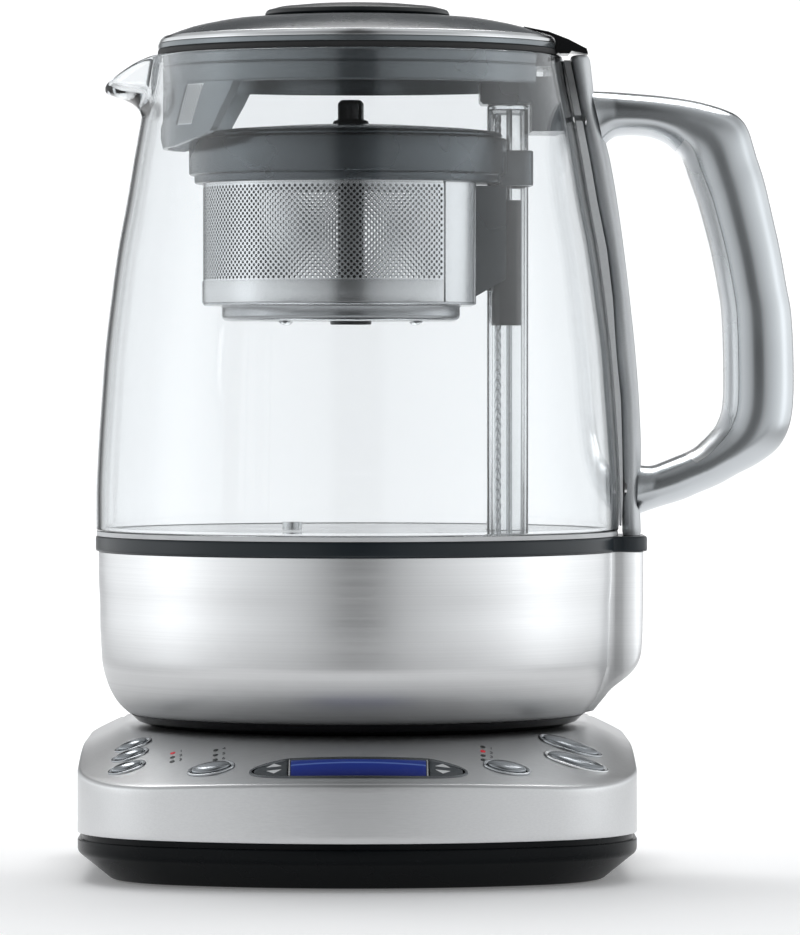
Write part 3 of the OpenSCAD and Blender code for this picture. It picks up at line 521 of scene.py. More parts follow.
class Builder:
    """Collects closed shells into one mesh."""

    def __init__(self):
        self.v, self.f = [], []

    def add(self, verts, faces):
        k = len(self.v)
        self.v += verts
        self.f += [tuple(i + k for i in f) for f in faces]
        return self

    def loft(self, rows, close_u=True, close_v=True, caps=False):
        n = len(rows[0])
        verts = [p for row in rows for p in row]
        faces = grid_faces(len(rows), n, close_u, close_v)
        if caps:
            faces.append(tuple(range(n))[::-1])
            faces.append(tuple(range(n * (len(rows) - 1), n * len(rows))))
        return self.add(verts, faces)

    def fan_caps(self, rows):
        """Rows from one pole to the other: the first and last row are single points."""
        n = len(rows[1])
        verts = [rows[0]]
        for row in rows[1:-1]:
            verts += row
        verts.append(rows[-1])
        faces = grid_faces(len(rows) - 2, n, True, False, 1)
        last = len(verts) - 1
        s = 1 + n * (len(rows) - 3)
        for j in range(n):
            faces.append((0, 1 + (j + 1) % n, 1 + j))
            faces.append((last, s + j, s + (j + 1) % n))
        return self.add(verts, faces)

    def piece(self, name, mat, body, replaces=(), sharp=35):
        ob = add_piece(name, self.v, self.f, mat, body, replaces, sharp)
        fix_normals(ob)
        return ob


def boolean_cut(ob, cutter, mode="DIFFERENCE"):
    """Cuts a Builder's shells out of a piece and leaves a plain mesh."""
    me = bpy.data.meshes.new("cutter")
    me.from_pydata([M(*v) for v in cutter.v], [], cutter.f)
    cut = bpy.data.objects.new("cutter", me)
    bpy.context.scene.collection.objects.link(cut)
    fix_normals(cut)
    mod = ob.modifiers.new("cut", "BOOLEAN")
    mod.operation = mode
    mod.solver = "EXACT"
    mod.object = cut
    bpy.context.view_layer.update()
    deps = bpy.context.evaluated_depsgraph_get()
    new = bpy.data.meshes.new_from_object(ob.evaluated_get(deps))
    ob.modifiers.clear()
    ob.data = new
    bpy.data.objects.remove(cut, do_unlink=True)
    new.polygons.foreach_set("use_smooth", [True] * len(new.polygons))
    new.set_sharp_from_angle(angle=math.radians(35))


def panel_frame(p):
    """Matrix from a control's own axes to the sloped panel."""
    f = math.atan2(p[1], p[0])
    return (Matrix.Translation((p[0], p[1], panel_z(p[0], p[1]))) @ Matrix.Rotation(f, 4, "Z")
            @ Matrix.Rotation(math.radians(22), 4, "Y") @ Matrix.Rotation(-f, 4, "Z"))


SLOPE = math.tan(math.radians(22))


def panel_z(x, y):
    return 43.3 - max(0.0, math.hypot(x, y) - 71) * SLOPE


def on_panel(m, pts):
    return [tuple(m @ Vector(p)) for p in pts]


def ellipse(a, b, z, n=64, p=2.0):
    out = []
    for i in range(n):
        t = 2 * math.pi * i / n
        c, s = math.cos(t), math.sin(t)
        out.append((a * math.copysign(abs(c) ** (2 / p), c), b * math.copysign(abs(s) ** (2 / p), s), z))
    return out


# ------------------------------------------------------------------ power base
def outline_r(a, d):
    """Distance from the jug axis to the base outline drawn in by d, along the angle a."""
    c, s = math.cos(a), math.sin(a)
    best = 0.0

    def circle(cx, cy, r):
        k = c * cx + s * cy
        q = k * k - (cx * cx + cy * cy - r * r)
        return k + math.sqrt(q) if q >= 0 else 0.0

    t = circle(0, 30, 130 - d)
    x, y = t * c, t * s
    if y < 30 and abs(x) <= (30 - y) * 90.1 / 178.6 + 1e-6:
        best = max(best, t)
    for sx in (-1, 1):
        best = max(best, circle(sx * 38.3, -45.9, 45 - d), circle(sx * 43.3, 48, 40 - d))
    if abs(c) > 1e-9:
        t = (83.3 - d) / abs(c)
        if -45.9 <= t * s <= 48:
            best = max(best, t)
    if s > 1e-9:
        t = (88 - d) / s
        if abs(t * c) <= 43.3:
            best = max(best, t)
    return best


def soft(t, k=1.1):
    return (t + math.sqrt(t * t + k * k)) / 2


def top_z(x, y, k=1.1):
    if y <= 0:
        return 43.3 - soft(math.hypot(x, y) - 71, k) * SLOPE
    u, v = abs(x) - 71, y - 76
    m = (u + v + math.sqrt((u - v) ** 2 + 9)) / 2 if u > -20 and v > -20 else max(u, v)
    m = max(m, math.hypot(x, 0) - 71) if y < 1 else m
    return 43.3 - soft(m, k) * SLOPE


def base_shell_piece():
    n = 600
    angles = [2 * math.pi * j / n for j in range(n)]
    crease = []
    for a in angles:
        c, s = math.cos(a), math.sin(a)
        r = 71.0 if s <= 0 else min(71 / max(abs(c), 1e-6), 76 / max(s, 1e-6))
        crease.append(min(r, outline_r(a, 1.0) - 2.5))

    def row(fn):
        return [fn(j, a) for j, a in enumerate(angles)]

    def at(r, a, z):
        return (r * math.cos(a), r * math.sin(a), z)

    z_edge = []
    for a in angles:
        r = outline_r(a, 0)
        z_edge.append(top_z(r * math.cos(a), r * math.sin(a)))
    rows = [row(lambda j, a: at(outline_r(a, 1.3), a, 14.2)), row(lambda j, a: at(outline_r(a, 0.3), a, 14.2)),
            row(lambda j, a: at(outline_r(a, 0.06), a, 14.32)), row(lambda j, a: at(outline_r(a, 0), a, 14.6))]
    for t in (0.12, 0.35, 0.65, 0.9, 1.0):
        rows.append(row(lambda j, a: at(outline_r(a, 0), a, lerp(14.6, z_edge[j] - 1.08, t))))
    for k in range(1, 8):
        phi = math.radians(68) * k / 7
        rows.append(row(lambda j, a: at(outline_r(a, 1.6 * (1 - math.cos(phi))), a, z_edge[j] - 1.08 + 1.6 * math.sin(phi))))
    for t in (0.06, 0.14, 0.25, 0.38, 0.52, 0.66, 0.8, 0.92):
        def fn(j, a):
            r = lerp(outline_r(a, 1.0), crease[j] + 1.5, t)
            x, y = r * math.cos(a), r * math.sin(a)
            return (x, y, top_z(x, y))
        rows.append(row(fn))
    for dr in (1.5, 1.1, 0.75, 0.45, 0.2, 0, -0.2, -0.45, -0.8, -1.3, -2.0, -3.5, -6):
        def fn(j, a):
            r = crease[j] + dr
            x, y = r * math.cos(a), r * math.sin(a)
            return (x, y, top_z(x, y))
        rows.append(row(fn))
    for r, z in ((50, 43.29), (34, 43.3), (22, 43.3), (18.2, 43.3), (17.6, 43.15), (17.4, 42.8), (17.4, 42.0), (30, 42.0), (60, 42.0)):
        rows.append(row(lambda j, a: at(r, a, z)))
    rows.append(row(lambda j, a: at(crease[j] - 1, a, 42.0)))
    for t in (0.0, 0.5, 1.0):
        def fn(j, a):
            r = lerp(crease[j] + 0.6, outline_r(a, 1.6), t)
            x, y = r * math.cos(a), r * math.sin(a)
            return (x, y, top_z(x, y) - 1.45)
        rows.append(row(fn))
    rows.append(row(lambda j, a: at(outline_r(a, 1.3), a, z_edge[j] - 2.4)))
    return Builder().loft(rows).piece("base_cover", STEEL_H, "power_base", ["base_shell"], 38)


KEYS = {"auto_start_button": (-66.8, -44.3, 4.4, 3.0), "keep_warm_button": (-67.4, -53.6, 4.4, 3.0),
        "basket_button": (-68.0, -64.2, 4.4, 3.0), "tea_type_button": (-42.8, -81, 5.7, 3.25),
        "strength_button": (43.7, -80, 5.7, 3.25), "hot_water_button": (63.3, -49, 8.5, 4.0),
        "brew_button": (64.6, -62.3, 8.5, 4.0)}
LEDS = [(-54.5, -62.6), (-54.5, -66), (-54.5, -69.3), (-41.7, -68.3), (-41.7, -71.8), (-41.7, -75.2),
        (36.9, -68.4), (36.9, -71.4), (36.9, -74.4), (36.9, -77.4)]
DISP = (0.3, -88.0)


def cut_panel(shell):
    c = Builder()
    for k in KEYS.values():
        m = panel_frame(k)
        c.loft([on_panel(m, ellipse(k[2] + 0.92, k[3] + 0.92, z, 48)) for z in (-5, 3)], close_v=False, caps=True)
    for k in LEDS:
        m = panel_frame(k)
        c.loft([on_panel(m, ellipse(0.85, 0.85, z, 20)) for z in (-3, 2)], close_v=False, caps=True)
    c.loft([[(x + DISP[0], y + DISP[1], z) for x, y, _ in ellipse(31.25, 7.25, 0, 96)] for z in (28, 48)], close_v=False, caps=True)
    boolean_cut(shell, c)


shell = base_shell_piece()
cut_panel(shell)


def pan_profile():
    """Inset and height of the lower casing, from its flat underside round the outside to its inner foot."""
    p = fillet([(20, 0.5), (10.0, 0.5), (0, 8.6), (0, 12.4), (1.2, 12.4), (1.2, 14.2), (3, 14.2), (3, 10.6), (14.6, 3.6), (20, 3.6)],
               [0, 2.0, 2.6, 0.45, 0.2, 0.25, 0.2, 0.8, 0.8, 0], False, 5)
    return p


def pan_piece():
    n = 480
    angles = [2 * math.pi * j / n for j in range(n)]

    def ring(d, z):
        return [(outline_r(a, d) * math.cos(a), outline_r(a, d) * math.sin(a), z) for a in angles]

    def scaled(k, z):
        return [(x * k, y * k, z) for x, y, _ in ring(20, z)]

    rows = ([(0, 0, 0.5), scaled(0.35, 0.5), scaled(0.75, 0.5)] + [ring(d, z) for d, z in pan_profile()]
            + [scaled(0.75, 3.6), scaled(0.35, 3.6), (0, 0, 3.6)])
    ob = Builder().fan_caps(rows).piece("base_casing", PAN, "power_base", ["base_pan"], 38)
    c = Builder()
    for x, y in ((-62, -10), (62, -10), (-56, 58), (56, 58)):
        c.loft([[(x + px, y + py, z) for px, py, _ in ellipse(3.2, 3.2, 0, 32)] for z in (-1, 5)], close_v=False, caps=True)
    c.loft([[(30 + px, y, 8.7 + pz) for px, pz, _ in ellipse(5, 5, 0, 40)] for y in (80, 95)], close_v=False, caps=True)
    for x, y in ((-50, -64), (50, -64), (-44, 64), (44, 64)):
        c.loft([[(x + px, y + py, z) for px, py, _ in ellipse(6.1, 6.1, 0, 48)] for z in (-1, 1.5)], close_v=False, caps=True)
    boolean_cut(ob, c)
    return ob


pan_piece()

# feet
b = Builder()
for x, y in ((-50, -64), (50, -64), (-44, 64), (44, 64)):
    rows = [(x, y, 0.12)]
    for r, z in ((4.4, 0.12), (4.9, 0.0), (5.4, 0.02), (5.8, 0.2), (6, 0.5), (6, 1.5)):
        rows.append([(x + r * math.cos(t), y + r * math.sin(t), z) for t in [2 * math.pi * i / 48 for i in range(48)]])
    rows.append((x, y, 1.5))
    b.fan_caps(rows)
b.piece("feet", RUBBER, "power_base", ["base_feet"])

# cord outlet
b = Builder()
prof = fillet([(3.4, 72), (4.95, 72), (4.95, 88), (3.4, 88)], [0.3, 0.4, 0.7, 0.6])
b.loft([[(30 + r * math.cos(t), y, 8.7 + r * math.sin(t)) for t in [2 * math.pi * i / 48 for i in range(48)]] for r, y in prof])
b.piece("cord_outlet", RUBBER, "power_base", ["cord_gland"])

# keys, each a shallow lens in its own bezel
KEY_METAL = satin_metal("key_metal", (0.36, 0.38, 0.40), 0.20)
for name, k in KEYS.items():
    m = panel_frame(k)
    a0, b0 = k[2], k[3]
    rows = [tuple(m @ Vector((0, 0, -5)))]
    for s, z in ((0.6, -5), (1.0, -5), (1.0, 0.2), (0.999, 0.55), (0.985, 0.72), (0.955, 0.86), (0.90, 1.02), (0.80, 1.2), (0.68, 1.34),
                 (0.54, 1.45), (0.40, 1.52), (0.26, 1.57), (0.12, 1.595)):
        rows.append(on_panel(m, ellipse(a0 * s, b0 * s, z, 72)))
    rows.append(tuple(m @ Vector((0, 0, 1.6))))
    Builder().fan_caps(rows).piece(name + "_cap", KEY_METAL, name, [name], 50)

b = Builder()
bright = Builder()
for name, k in KEYS.items():
    m = panel_frame(k)
    a0, b0 = k[2], k[3]
    prof = fillet([(0.3, -3.0), (0.85, -3.0), (0.85, 0.02), (1.5, 0.02), (1.4, 0.42), (0.95, 0.5), (0.3, 0.1)],
                  [0.05, 0.05, 0.02, 0.05, 0.25, 0.3, 0.1], True, 4)
    rows = [on_panel(m, ellipse(a0 + d, b0 + min(d, 0.85 + (d - 0.85) * 0.7), z, 72)) for d, z in prof]
    (bright if name == "brew_button" else b).loft(rows)
BEZEL = satin_metal("bezel_metal", (0.50, 0.52, 0.54), 0.14)
b.piece("key_bezels", BEZEL, "power_base", ["button_bezels"])
bright.piece("brew_bezel", CHROME, "power_base")


# display pod on the cone of the panel
def pod(pts, h):
    return [(x + DISP[0], y + DISP[1], panel_z(x + DISP[0], y + DISP[1]) + h) for x, y in pts]


def blue_top(x):
    """Upper edge of the blue window, nearly level across the display."""
    return lerp(3.9, 4.95, min(1.0, abs(x) / 19.75) ** 2)


def rim_level(x, y, d):
    """A point of the display's oval, brought down to the window's upper edge."""
    u = abs(x)
    if y <= 0 or u >= 22.5:
        return (x, y)
    lim = blue_top(x) + 0.12 + d * 0.9
    if u > 19.75:
        lim = lerp(lim, y, (u - 19.75) / 2.75)
    return (x, min(y, lim))


def oval2(a, b, n=160):
    return [(x, y) for x, y, _ in ellipse(a, b, 0, n, 2.0)]


b = Builder()
prof = fillet([(0.0, -3.2), (0.12, -3.2), (0.12, 0.02), (1.0, 0.02), (0.9, 0.34), (0.1, 0.34)], [0.02, 0.02, 0.02, 0.08, 0.22, 0.1], True, 4)
b.loft([pod([rim_level(x, y, d) for x, y in oval2(31.02 + d, 7.0 + d * 0.9)], z) for d, z in prof])
FRAME_DARK = satin_metal("display_frame_metal", (0.16, 0.17, 0.18), 0.22)
b.piece("display_rim", FRAME_DARK, "power_base", ["display_frame"])

b = Builder()
for s in (-1, 1):
    rows = []
    for x in (19.85, 20.0, 20.2, 20.35):
        rows.append((x * s, 0.12 if x in (19.85, 20.35) else 0.24))
    w = 5.1
    loft = []
    for x, h in [(rows[0][0], -3.0)] + rows + [(rows[-1][0], -3.0)]:
        loft.append(pod([(x, lerp(-w, w, i / 16)) for i in range(17)], h))
    b.add([p for r in loft for p in r], grid_faces(6, 17, False, True) + [tuple(i * 17 for i in range(6)), tuple(i * 17 + 16 for i in reversed(range(6)))])
b.piece("display_dividers", BRIGHT, "power_base")


def lens_region(x0, x1, a, b_, h_edge, h_mid, lo, nx=40, ny=14, span=None):
    """A pillow between two x limits inside an oval, following the panel, with a flat underside at lo.
    span gives other limits across, as a function of x and the oval's half width."""
    xs = [lerp(x0, x1, i / nx) for i in range(nx + 1)]
    top = []
    for x in xs:
        w = b_ * math.sqrt(max(0.0, 1 - (x / a) ** 2))
        w0, w1 = span(x, w) if span else (-w, w)
        row = []
        for j in range(ny + 1):
            t = -1 + 2 * j / ny
            ex = 1 - max(0.0, 1 - min(x - x0, x1 - x) / 0.6) ** 2
            ey = 1 - abs(t) ** 6
            row.append((x, lerp(w0, w1, j / ny), lerp(h_edge, h_mid, min(ex, ey))))
        top.append(row)
    verts, faces = [], []
    n = ny + 1
    for row in top:
        for x, y, h in row:
            verts += pod([(x, y)], h)
    k = len(verts)
    for row in top:
        for x, y, h in row:
            verts += pod([(x, y)], lo)
    faces += grid_faces(nx + 1, n, False, False)
    faces += grid_faces(nx + 1, n, False, False, k, True)
    for i in range(nx):
        faces.append((i * n, (i + 1) * n, k + (i + 1) * n, k + i * n))
        faces.append(((i + 1) * n + ny, i * n + ny, k + i * n + ny, k + (i + 1) * n + ny))
    for j in range(ny):
        faces.append((j + 1, j, k + j, k + j + 1))
        faces.append((nx * n + j, nx * n + j + 1, k + nx * n + j + 1, k + nx * n + j))
    return verts, faces


# blue window: its blue grows lighter towards the top, with a painted highlight stripe across it, and the same colours
# glow faintly
def lcd_material():
    mat, nt, b = nodes_of("blue_window")
    tc = nt.nodes.new("ShaderNodeTexCoord")
    sep = nt.nodes.new("ShaderNodeSeparateXYZ")
    nt.links.new(tc.outputs["Object"], sep.inputs[0])
    ramp = nt.nodes.new("ShaderNodeValToRGB")
    y0 = JY + (DISP[1] - 6.5) * 0.001
    mr = nt.nodes.new("ShaderNodeMapRange")
    mr.inputs["From Min"].default_value = y0
    mr.inputs["From Max"].default_value = y0 + 0.0112
    nt.links.new(sep.outputs["Y"], mr.inputs["Value"])
    nt.links.new(mr.outputs[0], ramp.inputs[0])
    e = ramp.color_ramp.elements
    e[0].position, e[0].color = 0.0, (0.008, 0.014, 0.11, 1)
    e[1].position, e[1].color = 1.0, (0.06, 0.10, 0.34, 1)
    # the light stop at 0.72 is a painted highlight stripe across the window
    for pos, c in ((0.12, (0.009, 0.020, 0.17, 1)), (0.45, (0.010, 0.030, 0.27, 1)), (0.66, (0.012, 0.036, 0.30, 1)),
                   (0.72, (0.14, 0.24, 0.62, 1)), (0.78, (0.014, 0.040, 0.30, 1)), (0.9, (0.03, 0.06, 0.32, 1))):
        el = e.new(pos)
        el.color = c
    n = noise(nt, coords(nt, (120, 120, 120)), 1.0, 2.0)
    mx = nt.nodes.new("ShaderNodeMix")
    mx.data_type = "RGBA"
    mx.blend_type = "MULTIPLY"
    mx.inputs["Factor"].default_value = 0.15
    nt.links.new(ramp.outputs[0], mx.inputs["A"])
    cr = mix_colour(nt, map_range(nt, n, 0, 1), (0.7, 0.7, 0.8), (1, 1, 1))
    nt.links.new(cr, mx.inputs["B"])
    nt.links.new(mx.outputs["Result"], b.inputs["Base Color"])
    nt.links.new(mx.outputs["Result"], b.inputs["Emission Color"])
    b.inputs["Emission Strength"].default_value = 0.07
    b.inputs["Roughness"].default_value = 0.30
    b.inputs["Specular IOR Level"].default_value = 0.12
    b.inputs["Coat Weight"].default_value = 0.0
    b.inputs["Coat Roughness"].default_value = 0.05
    return mat


LCD = lcd_material()
v, f = lens_region(-19.75, 19.75, 30.7, 6.5, 0.02, 0.15, -2.0, 60, 16, lambda x, w: (-w, min(w, blue_top(x)) - 0.02))
Builder().add(v, f).piece("display_glass", LCD, "power_base", ["display_window"])
v, f = lens_region(-18.6, 18.6, 31.25, 7.25, -0.03, -0.01, -1.4, 60, 6, lambda x, w: (blue_top(x) + 0.5, max(w - 0.03, blue_top(x) + 0.55)))
Builder().add(v, f).piece("display_filler", STEEL_H, "power_base")
ROCKER = plastic("rocker_plastic", (0.052, 0.062, 0.070), 0.38, 0.06)
for s, name in ((-1, "temperature_rocker"), (1, "time_rocker")):
    x0, x1 = (20.75, 30.42) if s > 0 else (-30.42, -20.75)
    v, f = lens_region(x0, x1, 30.55, 6.45, 0.12, 0.42, -3.0, 28, 14)
    Builder().add(v, f).piece(name + "_key", ROCKER, name, [name])
    b = Builder()
    for up in (-1, 1):
        cx, cy = DISP[0] + s * 24.6, DISP[1] + up * 1.9
        tri = [(-2.35, -0.85 * up), (2.35, -0.85 * up), (0, 1.15 * up)]
        tri = fillet(tri, [0.15, 0.15, 0.15], True, 3)
        lo = [(cx + x, cy + y, panel_z(cx + x, cy + y) + 0.36) for x, y in tri]
        hi = [(x, y, z + 0.08) for x, y, z in lo]
        b.loft([lo, hi], close_v=False, caps=True)
    b.piece(name + "_arrows", WHITE_INK, name)

# lamps
dark, red = Builder(), Builder()
for i, p in enumerate(LEDS):
    m = panel_frame(p)
    rows = [tuple(m @ Vector((0, 0, -3.0)))]
    for r, z in ((0.8, -3.0), (0.8, 0.02), (0.76, 0.1), (0.6, 0.16), (0.3, 0.195)):
        rows.append(on_panel(m, ellipse(r, r, z, 24)))
    rows.append(tuple(m @ Vector((0, 0, 0.2))))
    (red if i in (0, 7) else dark).fan_caps(rows)
dark.piece("lamps", LED_DARK, "power_base", ["led_lenses"])
red.piece("lamps_lit", LED_RED, "power_base")


def print_text(name, txt, x, y, size, mat, body="power_base", h=0.03):
    """Plain characters lying on the panel."""
    cu = bpy.data.curves.new(name, "FONT")
    cu.body = txt
    cu.size = size
    cu.extrude = 0.02
    cu.align_x = "LEFT"
    cu.align_y = "CENTER"
    cu.resolution_u = 3
    ob = bpy.data.objects.new(name + "_t", cu)
    bpy.context.scene.collection.objects.link(ob)
    bpy.context.view_layer.update()
    me = bpy.data.meshes.new_from_object(ob.evaluated_get(bpy.context.evaluated_depsgraph_get()))
    bpy.data.objects.remove(ob, do_unlink=True)
    m = panel_frame((x, y))
    for v in me.vertices:
        p = m @ Vector((v.co.x, v.co.y, v.co.z + h))
        v.co = M(*p)
    me.materials.clear()
    me.materials.append(mat)
    o = bpy.data.objects.new(name, me)
    bpy.context.scene.collection.objects.link(o)
    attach(o, body)
    return o


for i, p in enumerate(LEDS):
    print_text("scale_%d" % (i + 1), str([1, 2, 3, 4, 5, 6, 1, 2, 3, 4][i]), p[0] + 1.9, p[1], 2.3, DARK_INK)


# ------------------------------------------------------------------ jug
GLASS_O = [(102.7, 79.7), (111.8, 79.7), (127, 79.1), (142, 78.1), (157.6, 76.9), (172.8, 75.1), (188, 73), (203, 70.2),
           (215.5, 68.1), (227.7, 65.9), (237.5, 64), (247, 62.4)]
SPOUT = [(0, 0), (228.0, 0), (229.6, 0.6), (231, 1.7), (232.2, 3.2), (233.2, 5.2), (234.1, 7.8), (234.9, 10.3), (235.8, 12.2), (237.2, 13.2), (260, 13.2)]


def glass_piece():
    half = 30
    offs = [16.5 * i / half for i in range(-half, half + 1)]
    rest = [16.5 + (360 - 33) * i / 180 for i in range(1, (180))]
    angles = [math.radians(180 + o) for o in offs + rest]

    def f_of(a):
        d = abs(math.degrees(a) - 180)
        d = min(d, 360 - d)
        return 0.5 * (1 + math.cos(math.pi * d / 16.5)) if d < 16.5 else 0.0

    fs = [f_of(a) for a in angles]

    def rim_in(f):
        return 245.8 - 8.4 * f ** 1.7

    def rim_out(f):
        return rim_in(f) - 1.6 * f

    def outer(f, z):
        return smooth_table(GLASS_O, z) + f * smooth_table(SPOUT, z)

    def inner(f, z):
        return smooth_table(GLASS_O, z) - 2.5 + f * (smooth_table(SPOUT, z - 1.6) + 0.3 * smooth_table(SPOUT, z) / 13.2)

    zs = [102.95, 103.4, 104.2] + [106 + 4.2 * i for i in range(29)]
    zs = [z for z in zs if z < 226] + [226 + 0.62 * i for i in range(33)]

    def warp(z, f, top):
        return z if z < 226 else 226 + (z - 226) * (top(f) - 226) / (246.0 - 226)

    zs = [z for z in zs if z <= 245.9]
    out = []
    out.append([(lambda r: (r * math.cos(a), r * math.sin(a), 102.7))(outer(f, 102.7) - 0.7) for a, f in zip(angles, fs)])
    out.append([(lambda r: (r * math.cos(a), r * math.sin(a), 102.82))(outer(f, 102.7) - 0.3) for a, f in zip(angles, fs)])
    out.append([(lambda r: (r * math.cos(a), r * math.sin(a), 103.1))(outer(f, 102.7) - 0.06) for a, f in zip(angles, fs)])
    for z in zs[1:]:
        row = []
        for a, f in zip(angles, fs):
            w = warp(z, f, rim_out)
            r = outer(f, w)
            row.append((r * math.cos(a), r * math.sin(a), w))
        out.append(row)
    for k in range(9):
        t = math.pi * k / 8
        row = []
        for a, f in zip(angles, fs):
            zo, zi = rim_out(f), rim_in(f)
            ro, ri = outer(f, zo), inner(f, zi)
            hr, hz = (ro - ri) / 2, (zo - zi) / 2
            r = (ro + ri) / 2 + hr * math.cos(t) - hz * 0.95 * math.sin(t)
            z = (zo + zi) / 2 + hz * math.cos(t) + hr * 0.95 * math.sin(t)
            row.append((r * math.cos(a), r * math.sin(a), z))
        out.append(row)
    for z in reversed(zs[1:]):
        row = []
        for a, f in zip(angles, fs):
            w = warp(z, f, rim_in)
            r = inner(f, w)
            row.append((r * math.cos(a), r * math.sin(a), w))
        out.append(row)
    out.append([(lambda r: (r * math.cos(a), r * math.sin(a), 102.7))(inner(f, 102.9)) for a, f in zip(angles, fs)])
    return Builder().loft(out).piece("jug_glass_wall", GLASS, "jug", ["glass_vessel"], 60)


glass_piece()

# steel skirt with the swelling below the handle
SKIRT = [(47, 69), (47.8, 70.2), (51, 73.3), (54, 75.1), (57, 76.3), (60, 77.2), (63, 77.75), (69, 78.1), (75, 78.4), (81, 78.4), (87.4, 78.8), (96.6, 78.8)]
BOSS = [(48.4, 71.2), (52.6, 74.6), (55.2, 76.8), (59.5, 82.3), (62.5, 84.9), (66, 86.2), (75, 86.8), (96.6, 87.1)]


def smax(a, b, k):
    h = max(0.0, k - abs(a - b)) / k
    return max(a, b) + h * h * k * 0.25


def smin(a, b, k):
    return -smax(-a, -b, k)


def lobe_r(a, w, r, x):
    """Ray distance to the end of a rounded tongue of half width w, corner radius r, reaching x."""
    c, s = math.cos(a), abs(math.sin(a))
    if c <= 0.2:
        return 0.0
    best = 0.0
    t = x / c
    if t * s <= w - r:
        best = max(best, t)
    if s > 1e-9:
        t = w / s
        if 50 <= t * c <= x - r:
            best = max(best, t)
    k = c * (x - r) + s * (w - r)
    q = k * k - ((x - r) ** 2 + (w - r) ** 2 - r * r)
    if q >= 0:
        best = max(best, k + math.sqrt(q))
    return best


def skirt_angles():
    fine = 120
    out = [math.radians(-20 + 40 * i / fine) for i in range(fine + 1)]
    rest = 200
    out += [math.radians(20 + 320 * i / rest) for i in range(1, rest)]
    return out


def skirt_piece():
    angles = skirt_angles()

    def rad(a, z, d=0.0):
        main = smooth_table(SKIRT, z)
        if math.cos(a) > 0.9 and z > 48.4:
            lx = lobe_r(a, 18.5, 8, 87.2)
            bx = smooth_table(BOSS, z) / math.cos(a)
            lobe = smin(lx, bx, 1.5)
            return smax(main, lobe, 2.2) - d
        return main - d

    zs = [47.35, 47.8, 48.6] + [49.6 + 1.15 * i for i in range(14)] + [66.5, 69, 72, 76, 80, 84, 88, 91, 93.5, 95.2, 96.0, 96.35]
    rows = [[(rad(a, 47, 0.9) * math.cos(a), rad(a, 47, 0.9) * math.sin(a), 47.02) for a in angles],
            [(rad(a, 47, 0.35) * math.cos(a), rad(a, 47, 0.35) * math.sin(a), 47.06) for a in angles]]
    for z in zs:
        rows.append([(rad(a, z) * math.cos(a), rad(a, z) * math.sin(a), z) for a in angles])
    rows.append([(rad(a, 96.6, 0.2) * math.cos(a), rad(a, 96.6, 0.2) * math.sin(a), 96.58) for a in angles])
    rows.append([(rad(a, 96.6, 0.95) * math.cos(a), rad(a, 96.6, 0.95) * math.sin(a), 96.58) for a in angles])
    for z in reversed(zs):
        rows.append([(rad(a, z, 0.95) * math.cos(a), rad(a, z, 0.95) * math.sin(a), z + (0.5 if z < 60 else 0)) for a in angles])
    return Builder().loft(rows).piece("steel_skirt", STEEL_V, "jug", ["jug_skirt"], 40)


skirt_piece()


def collar_piece():
    angles = skirt_angles()
    prof = [(57, 98.5), (72, 98.5), (75.4, 93), (77.3, 93), (77.3, 96.62)]
    top = [(75.2, 101.2), (75.2, 101.9), (57, 101.9)]

    def ring(r, z):
        return [(r * math.cos(a), r * math.sin(a), z) for a in angles]

    def edge(d, z):
        out = []
        for a in angles:
            lobe = lobe_r(a, 18.5, 8, 87.9) if math.cos(a) > 0.9 else 0
            r = smax(79.7, lobe, 1.2) - d
            out.append((r * math.cos(a), r * math.sin(a), z))
        return out

    rows = [ring(*p) for p in prof]
    for d, z in ((0.6, 96.62), (0.22, 96.66), (0.05, 96.85), (0, 97.3), (0, 98.6), (0, 100.2), (0.05, 100.75), (0.25, 101.05), (0.6, 101.2), (2.2, 101.2)):
        rows.append(edge(d, z))
    rows += [ring(*p) for p in top]
    b = Builder().loft(rows)
    for ang in (60, 180, 300):
        cx, cy = 60 * math.cos(math.radians(ang)), 60 * math.sin(math.radians(ang))
        post = [(1.3, 47), (3.3, 47), (3.6, 47.4), (3.6, 98.9), (1.3, 98.9)]
        b.loft([[(cx + r * math.cos(t), cy + r * math.sin(t), z) for t in [2 * math.pi * i / 32 for i in range(32)]] for r, z in post])
    return b.piece("collar", COLLAR, "jug", ["collar_ring"], 40)


collar_piece()

# black foot of the jug under the skirt: keeps its moulded shape from the construction

# handle
HANDLE = [((70.9, 236.4), (74.9, 219.6)), ((77, 236.2), (78.3, 222.3)), ((84, 235.7), (83, 222.9)), ((92, 235), (89, 222.4)),
          ((100.7, 233.8), (93.9, 220.5)), ((107, 232.4), (96.8, 218)), ((112.5, 230.6), (98.7, 215.8)), ((116.3, 228.5), (99.8, 213.2)),
          ((119.1, 224.6), (101, 209.6)), ((121.6, 216.5), (102.6, 205)), ((124, 209), (103.9, 201.2)), ((126.6, 198), (106, 193.6)),
          ((128.9, 187.7), (108, 185.6)), ((130.8, 177), (109.9, 175.6)), ((132.3, 168.2), (110.9, 168.2)), ((133, 153.6), (111.4, 153.6)),
          ((132.8, 141), (111.2, 141)), ((131.3, 133.2), (109.5, 135.2)), ((127.9, 127.4), (107.5, 132.4)), ((122.1, 123), (105, 129.9)),
          ((116, 119.8), (102.6, 127.8)), ((110.4, 116.7), (99.5, 126.2)), ((104.5, 114.2), (96.5, 125)), ((98.7, 111.8), (93, 123.6)),
          ((91, 109.4), (89.5, 122.4)), ((84.9, 107.3), (85.2, 122.6))]
PAIRS = catmull([(a[0], a[1], b[0], b[1]) for a, b in HANDLE], 6)
LINER_FROM, LINER_TO = 5.0, 21.0      # stations between which the lighter inner strip runs


